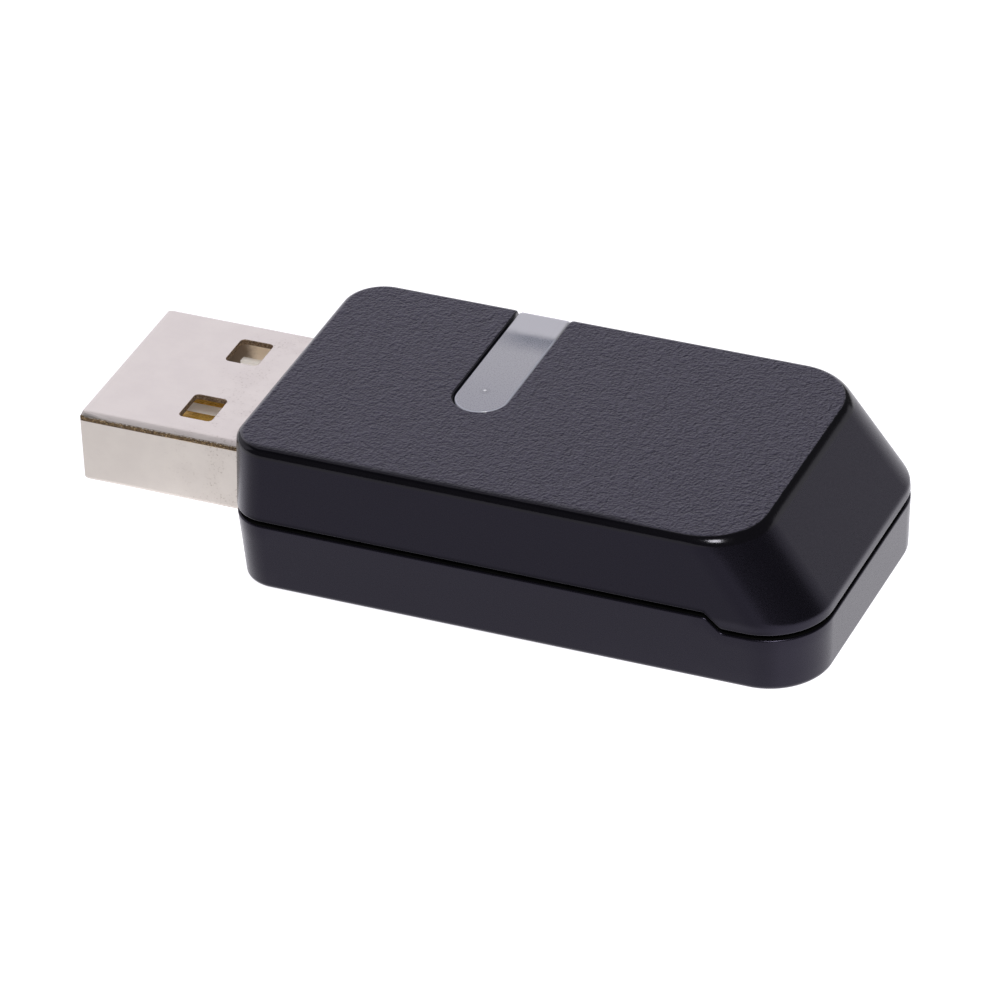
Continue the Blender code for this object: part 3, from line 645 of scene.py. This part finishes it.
def along(pairs, z, softness=0.0):
    """Value at height z in (height, value) pairs, with the bends between them rounded by softness."""
    for (low, first), (high, second) in zip(pairs, pairs[1:]):
        if z <= high or high == pairs[-1][0]:
            value = first + (second - first) * (z - low) / (high - low)
            break
    for (low, first), (bend, middle), (high, second) in zip(pairs, pairs[1:], pairs[2:]):
        reach = softness - abs(z - bend)
        if reach > 0:
            turn = (second - middle) / (high - bend) - (middle - first) / (bend - low)
            value += turn * reach**2 / (4 * softness)
    return value


class Section:
    """The case's outline at one height, moved inwards by inset, and by edge for a rounded edge."""

    def __init__(self, z, inset=0.0, edge=0.0):
        # Along x, the sloped rear stretches an inset and takes only a share of a rounded edge
        sloping = z > SLOPE_FOOT
        inwards = inset + edge
        self.front = along(FRONT_FACE, z) + inwards
        self.rear = along(REAR_FACE, z, SLOPE_FOOT_SOFTNESS)
        self.rear -= inset * (SLOPE_STRETCH if sloping else 1) + edge * (SLOPE_EDGE_SHARE if sloping else 1)
        self.half = along(HALF_WIDTH, z) - inwards
        self.front_corner = along(FRONT_CORNER, z) - inwards
        self.rear_corner = along(REAR_CORNER, z) - inwards


def side_stations():
    """Stations along a straight side: fixed places, then shares of the stretch up to the rear corner."""
    fixed_length = FIXED_LAST - FIXED_FIRST
    fixed = [FIXED_FIRST + fixed_length * step / FIXED_COUNT for step in range(FIXED_COUNT + 1)]
    fine_count = int((JOG_END - JOG_START + 2 * FINE_MARGIN) / FINE_STEP)
    fine = [JOG_START - FINE_MARGIN + FINE_STEP * step for step in range(fine_count + 1)]
    tail = [BEFORE_FINE, *fine, AFTER_FINE]
    shares = [(x - FIXED_LAST) / (LOW_STRAIGHT_END - FIXED_LAST) for x in tail]
    return [("fixed", x) for x in fixed] + [("share", share) for share in shares]


def outline_stations():
    """Every station of the outline, anticlockwise from the near front corner."""
    sides = side_stations()
    corner = range(CORNER_STEPS + 1)
    stations = [("near", *station) for station in sides]
    stations += [("rear_near", -90 + 90 * step / CORNER_STEPS) for step in corner]
    stations += [("rear", share) for share in spread(-1, 1, END_STATIONS)]
    stations += [("rear_far", 90 * step / CORNER_STEPS) for step in corner]
    stations += [("far", *station) for station in sides[::-1]]
    stations += [("front_far", 90 + 90 * step / CORNER_STEPS) for step in corner]
    stations += [("front", share) for share in spread(1, -1, END_STATIONS)]
    stations += [("front_near", 180 + 90 * step / CORNER_STEPS) for step in corner]
    return stations


def station_point(station, section):
    """Plan position of a station on a section."""
    side = station[0]
    if side in ("near", "far"):
        x = station[2]
        if station[1] == "share":
            x = FIXED_LAST + station[2] * (section.rear - section.rear_corner - FIXED_LAST)
        return x, -section.half if side == "near" else section.half
    if side == "rear":
        return section.rear, station[1] * (section.half - section.rear_corner)
    if side == "front":
        return section.front, station[1] * (section.half - section.front_corner)
    end, width = side.split("_")
    radius = section.rear_corner if end == "rear" else section.front_corner
    centre_x = section.rear - radius if end == "rear" else section.front + radius
    centre_y = (section.half - radius) * (-1 if width == "near" else 1)
    angle = math.radians(station[1])
    return centre_x + radius * math.cos(angle), centre_y + radius * math.sin(angle)


def soft_ramp(x):
    """0 for negative x and x for positive x, with a rounded bend. Far past the bend it is exactly x."""
    return x if x > 20 * JOG_SOFTNESS else JOG_SOFTNESS * math.log1p(math.exp(x / JOG_SOFTNESS))


def parting_height(x):
    """Height of the parting line's middle, which drops from the front's height to the rear's at the jog."""
    dropped = (soft_ramp(x - JOG_START) - soft_ramp(x - JOG_END)) / (JOG_END - JOG_START)
    return PARTING_FRONT + (PARTING_REAR - PARTING_FRONT) * dropped


def parting_at(station, rise):
    """Height of the parting line plus rise at a station, closed in on because its x depends on it."""
    z = PARTING_FRONT + rise
    for _ in range(4):
        z = parting_height(station_point(station, Section(z))[0]) + rise
    return z


def quarter(radius, steps):
    """(height, inset) pairs of a quarter-round edge, from the side's tangent to the flat's."""
    angles = [math.pi / 2 * step / steps for step in range(1, steps + 1)]
    return [(radius * math.sin(a), radius * (1 - math.cos(a))) for a in angles]


def roll_off(radius, depth):
    """How far a quarter-round edge draws back at a depth below its flat."""
    return radius - math.sqrt(radius**2 - max(0.0, radius - depth) ** 2)


def plain_ring(stations, heights, inset=0.0, edge=0.0):
    """Points of one ring, with a height for each station."""
    points = []
    for station, z in zip(stations, heights):
        x, y = station_point(station, Section(z, inset, edge))
        points.append((x, y, z))
    return points


def level_ring(stations, z, inset=0.0, edge=0.0):
    """Points of one ring at a single height."""
    section = Section(z, inset, edge)
    return [(*station_point(station, section), z) for station in stations]


def plug_opening_cutter():
    """The opening for the plug, with a rounded rim that follows the case's front face."""
    rim = OPENING_RIM
    profile = [(-1.0, rim), (0.0, rim)]
    profile += [(rim - inset, rim - rise) for rise, inset in quarter(rim, 6)]
    profile += [(OPENING_DEPTH, 0.0)]
    rings = []
    for depth, flare in profile:
        reach = SEAT_GAP + flare
        section = rounded_rectangle(
            (-PLUG_HALF_WIDTH - reach, PLUG_BOTTOM - reach),
            (PLUG_HALF_WIDTH + reach, PLUG_TOP + reach),
            SHELL_BEND + reach,
            8,
        )
        rings.append([(along(FRONT_FACE, z) + depth, y, z) for y, z in section])
    return mesh_object(loft(rings), "plug_opening", [CASE])


def lower_case():
    """The bottom tray: its outside, the lip on its rim and the hollow, with ribs and a pin for the board."""
    stations = outline_stations()
    edge = PARTING_EDGE
    tops = [parting_at(station, -PARTING_GAP / 2) for station in stations]
    bottom_edge = quarter(BOTTOM_EDGE, EDGE_STEPS)[::-1]
    rings = [level_ring(stations, BOTTOM_EDGE - rise, 0, inset) for rise, inset in bottom_edge]
    for share in (0, 0.25, 0.5, 0.75, 1):
        heights = [BOTTOM_EDGE + share * (top - edge - BOTTOM_EDGE) for top in tops]
        rings.append(plain_ring(stations, heights))
    for rise, inset in quarter(edge, 5):
        rings.append(plain_ring(stations, [top - edge + rise for top in tops], 0, inset))
    outside = len(rings) - 1
    lip_top = PARTING_GAP / 2 + LIP_HEIGHT
    lip = ((0, LIP_INSET), (lip_top - edge, LIP_INSET), (lip_top, LIP_INSET + edge))
    lip += ((lip_top, WALL - edge), (lip_top - edge, WALL))
    rings += [plain_ring(stations, [top + rise for top in tops], inset) for rise, inset in lip]
    rings.append(level_ring(stations, HOLLOW_TAPER_TOP, WALL))
    rings.append(level_ring(stations, WALL, WALL, HOLLOW_TAPER))
    obj = mesh_object(loft(rings, inside_from=outside), "lower_case_shell", CASE_LOOKS)
    carve(obj, plug_opening_cutter())
    bm = bmesh_of(obj)
    floor, underside = WALL - OVERLAP, span("circuit_board")[0].z - BOARD_PLAY
    for x in LOWER_RIBS:
        add_block(bm, (x - RIB_HALF, -LOWER_RIB_REACH, floor), (x + RIB_HALF, LOWER_RIB_REACH, underside))
    plug_rib_top = PLUG_BOTTOM - SEAT_GAP
    add_block(bm, (PLUG_RIB[0], -PLUG_RIB_REACH, floor), (PLUG_RIB[1], PLUG_RIB_REACH, plug_rib_top))
    add_pin(bm, (PIN_X, 0), PIN_SHOULDER_RADIUS, floor, underside)
    add_pin(bm, (PIN_X, 0), PIN_RADIUS, underside - OVERLAP, PIN_TOP)
    store(bm, obj)
    finish_piece(obj, "lower_case")


def notch_path(section, widen):
    """The pipe's slot as it breaks into a section's far side, from its rear edge round to its front one."""
    rim = MOUTH_CORNER
    radius = (SLOT_END - SLOT_START) / 2
    middle = ((SLOT_START + SLOT_END) / 2, SLOT_NEAR_END + radius)
    mouth = section.half - rim
    rear_x, front_x = SLOT_END + widen, SLOT_START - widen
    path = arc((rear_x + rim, mouth), rim, 90, 180, 5)
    path += [(rear_x, y) for y in spread(mouth, middle[1], 8)]
    path += arc(middle, radius + widen, 0, -180, 28)
    path += [(front_x, y) for y in spread(middle[1], mouth, 8)]
    path += arc((front_x - rim, mouth), rim, 0, 90, 5)
    return path


def upper_low_rings(stations):
    """Points of the top shell's rings below the slot: the rebate over the lip, and then its outside."""
    edge = PARTING_EDGE
    rise = PARTING_GAP / 2
    foot = [parting_at(station, rise) for station in stations]
    rebate = LIP_INSET - SEAT_GAP
    over_lip = LIP_HEIGHT + SEAT_GAP - rise
    inside = ((over_lip, CORE_INSET), (over_lip, rebate), (edge, rebate), (0, rebate - edge))
    rings = [plain_ring(stations, [z + climb for z in foot], inset) for climb, inset in inside]
    for step in range(7):
        angle = math.pi / 2 * step / 6
        climb, inset = edge * (1 - math.cos(angle)), edge * (1 - math.sin(angle))
        rings.append(plain_ring(stations, [z + climb for z in foot], 0, inset))
    # Close together at the slope's foot, and kept apart where the parting line lies above a level
    levels = [SLOPE_FOOT + 0.075 * step for step in range(-4, 5)] + [5.1, 5.8]
    for number, level in enumerate(levels):
        least = edge + 0.01 + 0.004 * number
        rings.append(plain_ring(stations, [max(level, z + least) for z in foot]))
    return rings, len(inside)


def upper_case_rings(bm, stations):
    """Vertex rings of the top shell up to its top, with the slot, and the number of the first one outside."""
    far_fixed = ("far", "fixed")
    mouth = (SLOT_START - MOUTH_CORNER - FINE_STEP, SLOT_END + MOUTH_CORNER + FINE_STEP)
    stations = [s for s in stations if s[:2] != far_fixed or not mouth[0] < s[2] < mouth[1]]
    before = [i for i, s in enumerate(stations) if s[:2] == far_fixed and s[2] > SLOT_END][-1]
    count = len(notch_path(Section(CASE_HEIGHT), 0))

    def with_line(points):
        """Adds points across the slot's mouth to a ring below the slot."""
        _, y, z = points[before]
        first_x, last_x = SLOT_END + MOUTH_CORNER, SLOT_START - MOUTH_CORNER
        across = [(x, y, z) for x in (first_x, *spread(first_x, last_x, count - 2), last_x)]
        return points[: before + 1] + across + points[before + 1 :]

    def with_notch(z, inset=0.0, widen=0.0):
        """A level ring that runs round the slot."""
        points = level_ring(stations, z, 0, inset)
        notch = [(x, y, z) for x, y in notch_path(Section(z, 0, inset), widen)]
        return points[: before + 1] + notch + points[before + 1 :]

    low_rings, outside = upper_low_rings(stations)
    low_rings.append(level_ring(stations, SLOT_BOTTOM))
    rings = [add_ring(bm, with_line(points)) for points in low_rings]
    slot_floor = list(rings[-1])
    opened = with_notch(SLOT_BOTTOM)
    for index in range(before + 2, before + count):
        slot_floor[index] = bm.verts.new(opened[index])
    rings.append(slot_floor)
    top_start = CASE_HEIGHT - TOP_EDGE
    rings += [add_ring(bm, with_notch(z)) for z in (*MIDDLE_HEIGHTS, top_start)]
    for climb, inset in quarter(TOP_EDGE, EDGE_STEPS):
        z = top_start + climb
        rings.append(add_ring(bm, with_notch(z, inset, roll_off(SLOT_EDGE, CASE_HEIGHT - z))))
    return rings, outside


def upper_case():
    """The top shell: its outside with the slot, the rebate and the hollow, with posts and the plug's rib."""
    stations = outline_stations()
    bm = bmesh.new()
    rings, outside = upper_case_rings(bm, stations)
    inside_look = CASE_LOOKS.index(CASE_INSIDE)
    skin(bm, rings[: outside + 1], inside_look)
    skin(bm, rings[outside:])
    bm.faces.new(rings[0][::-1]).material_index = inside_look
    bm.faces.new(rings[-1])
    bmesh.ops.recalc_face_normals(bm, faces=bm.faces)
    obj = mesh_object(bm, "upper_case_shell", CASE_LOOKS)
    ceiling = CASE_HEIGHT - WALL
    heights = (2.0, SLOPE_FOOT, SLOPE_FOOT + 0.05, ceiling - CEILING_EDGE)
    hollow = [level_ring(stations, z, WALL) for z in heights]
    hollow.append(level_ring(stations, ceiling, WALL, CEILING_EDGE))
    carve(obj, mesh_object(loft(hollow), "hollow", [CASE]), plug_opening_cutter())
    bm = bmesh_of(obj)
    board_top = span("circuit_board")[1].z + BOARD_PLAY
    for x in UPPER_POSTS:
        for y in (-UPPER_POST_Y, UPPER_POST_Y):
            low = (x - UPPER_POST_HALF, y - RIB_HALF, board_top)
            add_block(bm, low, (x + UPPER_POST_HALF, y + RIB_HALF, ceiling + OVERLAP))
    low = (PLUG_RIB[0], -PLUG_RIB_REACH, PLUG_TOP + SEAT_GAP)
    add_block(bm, low, (PLUG_RIB[1], PLUG_RIB_REACH, ceiling + OVERLAP))
    store(bm, obj)
    finish_piece(obj, "upper_case")


# ---- light pipe


def pipe_ring(z):
    """Outline of the light pipe at one height: round at its near end, and following the case's far side."""
    below_top = PIPE_TOP - z
    edge = roll_off(PIPE_EDGE, below_top)
    radius = (PIPE_END - PIPE_START) / 2
    middle = ((PIPE_START + PIPE_END) / 2, PIPE_NEAR_END + radius)
    far = along(HALF_WIDTH, z) - PIPE_RECESS - roll_off(TOP_EDGE, below_top)
    corner = MOUTH_CORNER
    mouth = far - corner
    front_x, rear_x = PIPE_START + edge, PIPE_END - edge
    outline = arc(middle, radius - edge, 180, 360, 40)
    outline += [(rear_x, y) for y in spread(middle[1], mouth, 14)]
    outline += arc((rear_x - corner, mouth), corner, 0, 90, 5)
    outline += [(x, far) for x in spread(rear_x - corner, front_x + corner, 7)]
    outline += arc((front_x + corner, mouth), corner, 90, 180, 5)
    outline += [(front_x, y) for y in spread(mouth, middle[1], 14)]
    return [(x, y, z) for x, y in outline]


def gate_mark(bm):
    """The small round vestige that moulding leaves near the pipe's near end."""
    rings = []
    for radius, height in GATE_PROFILE:
        circle = arc(GATE_CENTRE, radius, 0, 360, 24)[:-1]
        rings.append(add_ring(bm, [(x, y, PIPE_TOP + height) for x, y in circle]))
    skin(bm, rings)
    bm.faces.new(rings[-1])
    bm.faces.new(rings[0][::-1])


def light_pipe():
    """The inlay, its flange under the ceiling and its foot above the lamp."""
    top_start = PIPE_TOP - TOP_EDGE
    heights = [PIPE_BOTTOM, *MIDDLE_HEIGHTS, top_start]
    heights += [top_start + rise for rise, _ in quarter(TOP_EDGE, EDGE_STEPS)]
    obj = mesh_object(loft([pipe_ring(z) for z in heights]), "light_pipe_inlay", [PIPE])
    # The cutter that leaves only the pipe's top and its far side reaches well past it everywhere else
    inner_far = CASE_HALF_WIDTH - PIPE_RECESS - PIPE_THICKNESS - 0.1
    under = bmesh.new()
    add_block(under, (PIPE_START - 2, -5, 0), (PIPE_END + 2, inner_far, PIPE_TOP - PIPE_THICKNESS), 0.3)
    carve(obj, mesh_object(under, "under_pipe", [PIPE]))
    bm = bmesh_of(obj)
    ceiling = CASE_HEIGHT - WALL - SEAT_GAP
    low = (PIPE_START - FLANGE_REACH, FLANGE_ENDS[0], ceiling - FLANGE_THICKNESS)
    add_block(bm, low, (PIPE_END + FLANGE_REACH, FLANGE_ENDS[1], ceiling), 0.05)
    led_low, led_high = span("status_led")
    led_x, led_y = (led_low.x + led_high.x) / 2, (led_low.y + led_high.y) / 2
    low = (led_x - PIPE_FOOT_HALF[0], led_y - PIPE_FOOT_HALF[1], led_high.z + PIPE_FOOT_CLEARANCE)
    add_block(bm, low, (led_x + PIPE_FOOT_HALF[0], led_y + PIPE_FOOT_HALF[1], ceiling - OVERLAP), 0.05)
    gate_mark(bm)
    bmesh.ops.recalc_face_normals(bm, faces=bm.faces)
    store(bm, obj)
    finish_piece(obj, "light_pipe")


# ---- plug


def shell_line(inset):
    """The shell's folded line in (y, z) from its seam round to the top sheet, inset towards the inside."""
    bend = SHELL_BEND - inset
    right, left = PLUG_HALF_WIDTH - inset - bend, -PLUG_HALF_WIDTH + inset + bend
    low, high = PLUG_BOTTOM + inset + bend, PLUG_TOP - inset - bend
    line = [(-PLUG_HALF_WIDTH + inset, SEAM_TOP)]
    line += arc((left, low), bend, 180, 270, 8) + arc((right, low), bend, 270, 360, 8)
    line += arc((right, high), bend, 0, 90, 8)
    return line


def shell_section(taper):
    """Closed outline of the shell's sheet in (y, z), with the rolled-over edge, drawn in by taper."""
    outer = shell_line(taper)
    edge_y = ROLL_EDGE_Y + taper
    flat_y = edge_y + ROLL_FLAT * math.cos(ROLL_ANGLE)
    roll_centre = (flat_y + ROLL_RADIUS * math.sin(ROLL_ANGLE), PLUG_TOP - taper - ROLL_RADIUS)
    outer += arc(roll_centre, ROLL_RADIUS, 90, 90 + math.degrees(ROLL_ANGLE), 6)
    outer += [(edge_y + 0.03, ROLL_EDGE_Z - taper + 0.011), (edge_y, ROLL_EDGE_Z - taper - 0.02)]
    outer += [(edge_y, SEAM_TOP + 0.06), (edge_y + 0.03, SEAM_TOP + 0.03)]
    inner = shell_line(SHEET)
    inner += [(-PLUG_HALF_WIDTH + 0.5, PLUG_TOP - SHEET), (-PLUG_HALF_WIDTH + SHEET, SEAM_TOP + 0.03)]
    return outer + inner[::-1]


def window_cutter(name, side):
    """One window through the top and the bottom of the shell, with its rims rolled over."""
    length, width = WINDOW_SIZE
    rings = []
    roll = ((-1.0, 0.05), (0.0, 0.05), (0.015, 0.025), (0.05, 0.006), (0.1, 0.0))
    levels = [(PLUG_BOTTOM + depth, flare) for depth, flare in roll]
    levels += [(PLUG_TOP - depth, flare) for depth, flare in roll[::-1]]
    for z, flare in levels:
        low = (WINDOW_START - flare, side * WINDOW_CENTRE - width / 2 - flare)
        high = (WINDOW_START + length + flare, side * WINDOW_CENTRE + width / 2 + flare)
        rings.append([(x, y, z) for x, y in rounded_rectangle(low, high, WINDOW_CORNER + flare, 6)])
    return mesh_object(loft(rings, material=1), name, [NICKEL, PUNCHED])


def plug_shell():
    """The folded shell: its mouth drawn in, its windows, its solder tabs and a look of its own inside."""
    places = [0.0, 0.01, 0.025, 0.05, 0.09, 0.14, 0.2, MOUTH_LENGTH, 2.0, 4.0, 8.5, 10.4, 13.0, SHELL_REAR]
    rings = []
    for x in places:
        share = max(0.0, 1 - x / MOUTH_LENGTH)
        rings.append([(x, y, z) for y, z in shell_section(MOUTH_INSET * share**2.5)])
    obj = mesh_object(loft(rings), "plug_shell_folded", SHELL_LOOKS)
    # The trims leave two solder tabs, and reach well past the shell on the other sides
    above, below = bmesh.new(), bmesh.new()
    tab_start = SHELL_REAR - TAB_LENGTH
    add_block(above, (tab_start, -9, TAB_TOP), (SHELL_REAR + 2, 9, 12))
    add_block(below, (tab_start, -9, -2), (SHELL_REAR + 2, 9, TAB_BOTTOM))
    trims = [mesh_object(above, "trim_above", [NICKEL]), mesh_object(below, "trim_below", [NICKEL])]
    carve(obj, window_cutter("window_near", -1), window_cutter("window_far", 1), *trims)
    half, bottom, top = PLUG_HALF_WIDTH - SHEET / 2, PLUG_BOTTOM + SHEET / 2, PLUG_TOP - SHEET / 2
    for face in obj.data.polygons:
        _, y, z = face.center
        if face.material_index == 0 and abs(face.normal.x) < 0.5 and abs(y) < half and bottom < z < top:
            face.material_index = SHELL_LOOKS.index(SHELL_INSIDE)
    finish_piece(obj, "plug_shell")


def seam_edge():
    """The torn cut edge of the shell's top sheet, which shows as a thin rough band along the seam."""
    first_x, last_x = 0.03, CASE_FRONT + 1.0
    bottom, top = SEAM_TOP - 0.02, ROLL_EDGE_Z + 0.005
    surface = -PLUG_HALF_WIDTH + 0.02
    loops = []
    for column in range(TORN_COLUMNS + 1):
        x = first_x + (last_x - first_x) * column / TORN_COLUMNS
        line = []
        for row in range(TORN_ROWS + 1):
            share = row / TORN_ROWS
            ragged = 0.015 * noise.noise(Vector((x * 6, share * 2, 7.0)))
            bulge = 0.012 * noise.noise(Vector((x * 9, share * 5, 3.0)))
            bulge += 0.012 * noise.noise(Vector((x * 23, share * 9, 5.0)))
            rounded_back = 0.025 * (2 * share - 1) ** 4
            line.append((x, surface + rounded_back + bulge, bottom + (top - bottom) * share + ragged))
        line += [(x, surface + TORN_DEPTH, line[end][2]) for end in (-1, 0)]
        loops.append(line)
    finish_piece(mesh_object(loft(loops), "plug_seam_edge", [SHEARED]), None)


# ---- carried-over nodes


def dress_cad_nodes():
    """Gives each CAD node the look of its material slot, and rounds the edges of those that stay."""
    slots = {row["node"]: row["material_slot"] for row in frame["record"]["subparts"]}
    replaced = {"upper_case", "lower_case", "light_pipe", "plug_shell"}
    for name, node in frame["nodes"].items():
        node.data.materials.clear()
        node.data.materials.append(SLOT_LOOKS.get(slots[name], CASE))
        if name in replaced:
            continue
        weld = node.modifiers.new("weld", "WELD")
        weld.merge_threshold = 0.001 * MM
        low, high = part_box(name)
        rounding = node.modifiers.new("edge_rounding", "BEVEL")
        rounding.width = min(0.06 * MM, 0.15 * min(high - low))
        rounding.segments = 2
        rounding.limit_method = "ANGLE"
        rounding.angle_limit = math.radians(30)
        corners = node.modifiers.new("corner_weld", "WELD")
        corners.merge_threshold = 0.0005 * MM
        shade(node.data)


# ---- studio


def add_floor():
    """Glowing white paper just below the underside, brighter by the rear end and under the plug."""
    look = Shading("floor_paper")
    tone = look.mix(look.noise(0.02, 2.0), (0.24, 0.24, 0.24), (0.26, 0.26, 0.26))
    look.set(Base_Color=tone, Roughness=0.9, Specular_IOR_Level=0.1)
    strength = 1.0
    for spot, near, far, gain in (((26, 4, 0), 9.0, 26.0, 0.24), ((-18, -4, 0), 3.5, 8.0, 0.55)):
        strength = look.math("ADD", strength, look.range(look.distance(spot), far, near, 0.0, gain))
    look.set(Emission_Color=(0.97, 0.955, 1.0, 1.0), Emission_Strength=strength)
    bm = bmesh.new()
    bmesh.ops.create_grid(bm, x_segments=8, y_segments=8, size=3.0)
    floor = mesh_object(bm, "floor", [look.material])
    floor.location.z = -0.02 * MM


def area_light(name, place, aim, size, radiance, colour=(1, 1, 1)):
    """A soft rectangular light, in metres, whose face shines with the given radiance."""
    data = bpy.data.lights.new(name, "AREA")
    data.shape = "RECTANGLE"
    data.size, data.size_y = size
    data.energy = radiance * math.pi * size[0] * size[1]
    data.color = colour
    light = bpy.data.objects.new(name, data)
    light.location = place
    light.rotation_euler = (Vector(aim) - Vector(place)).to_track_quat("-Z", "Y").to_euler()
    bpy.context.scene.collection.objects.link(light)


def add_world(strength):
    world = bpy.data.worlds.new("studio")
    bpy.context.scene.world = world
    world.use_nodes = True
    background = world.node_tree.nodes["Background"]
    background.inputs["Color"].default_value = (1.0, 1.0, 1.0, 1.0)
    background.inputs["Strength"].default_value = strength


def add_camera():
    """A long lens, above the near side and towards the rear end, with a slight roll."""
    azimuth, elevation, roll = math.radians(24.554), math.radians(33.246), math.radians(-2.681)
    level = math.cos(elevation)
    back = Vector((math.sin(azimuth) * level, -math.cos(azimuth) * level, math.sin(elevation)))
    right = Vector((math.cos(azimuth), math.sin(azimuth), 0))
    up = back.cross(right)
    rolled_right = right * math.cos(roll) + up * math.sin(roll)
    rolled_up = up * math.cos(roll) - right * math.sin(roll)
    data = bpy.data.cameras.new("camera")
    data.lens = 243.628
    data.sensor_width = 36
    data.clip_start, data.clip_end = 0.01, 20
    camera = bpy.data.objects.new("camera", data)
    camera.rotation_mode = "QUATERNION"
    camera.rotation_quaternion = Matrix((rolled_right, rolled_up, back)).transposed().to_quaternion()
    camera.location = (0.132493, -0.289116, 0.210895)
    bpy.context.scene.collection.objects.link(camera)
    bpy.context.scene.camera = camera


def add_studio():
    add_floor()
    add_world(0.1)
    area_light("back_left_softbox", (-0.4, 0.72, 0.6), (0, 0, 0), (1.1, 1.5), 1.3, (1.0, 0.975, 1.09))
    area_light("back_right_card", (0.68, 0.72, 0.16), (0, 0, 0), (0.7, 0.3), 0.62, (1.0, 0.98, 1.05))
    area_light("left_softbox", (-1.1, 0.1, 0.5), (0, 0, 0), (1.2, 0.9), 0.6, (1.0, 0.98, 1.05))
    area_light("front_lamp", (0.33, -0.55, 0.77), (0, 0, 0), (0.25, 0.34), 22.5)
    scene = bpy.context.scene
    scene.view_settings.view_transform = "Standard"
    scene.view_settings.look = "None"


add_camera()
upper_case()
lower_case()
light_pipe()
plug_shell()
seam_edge()
dress_cad_nodes()
add_studio()
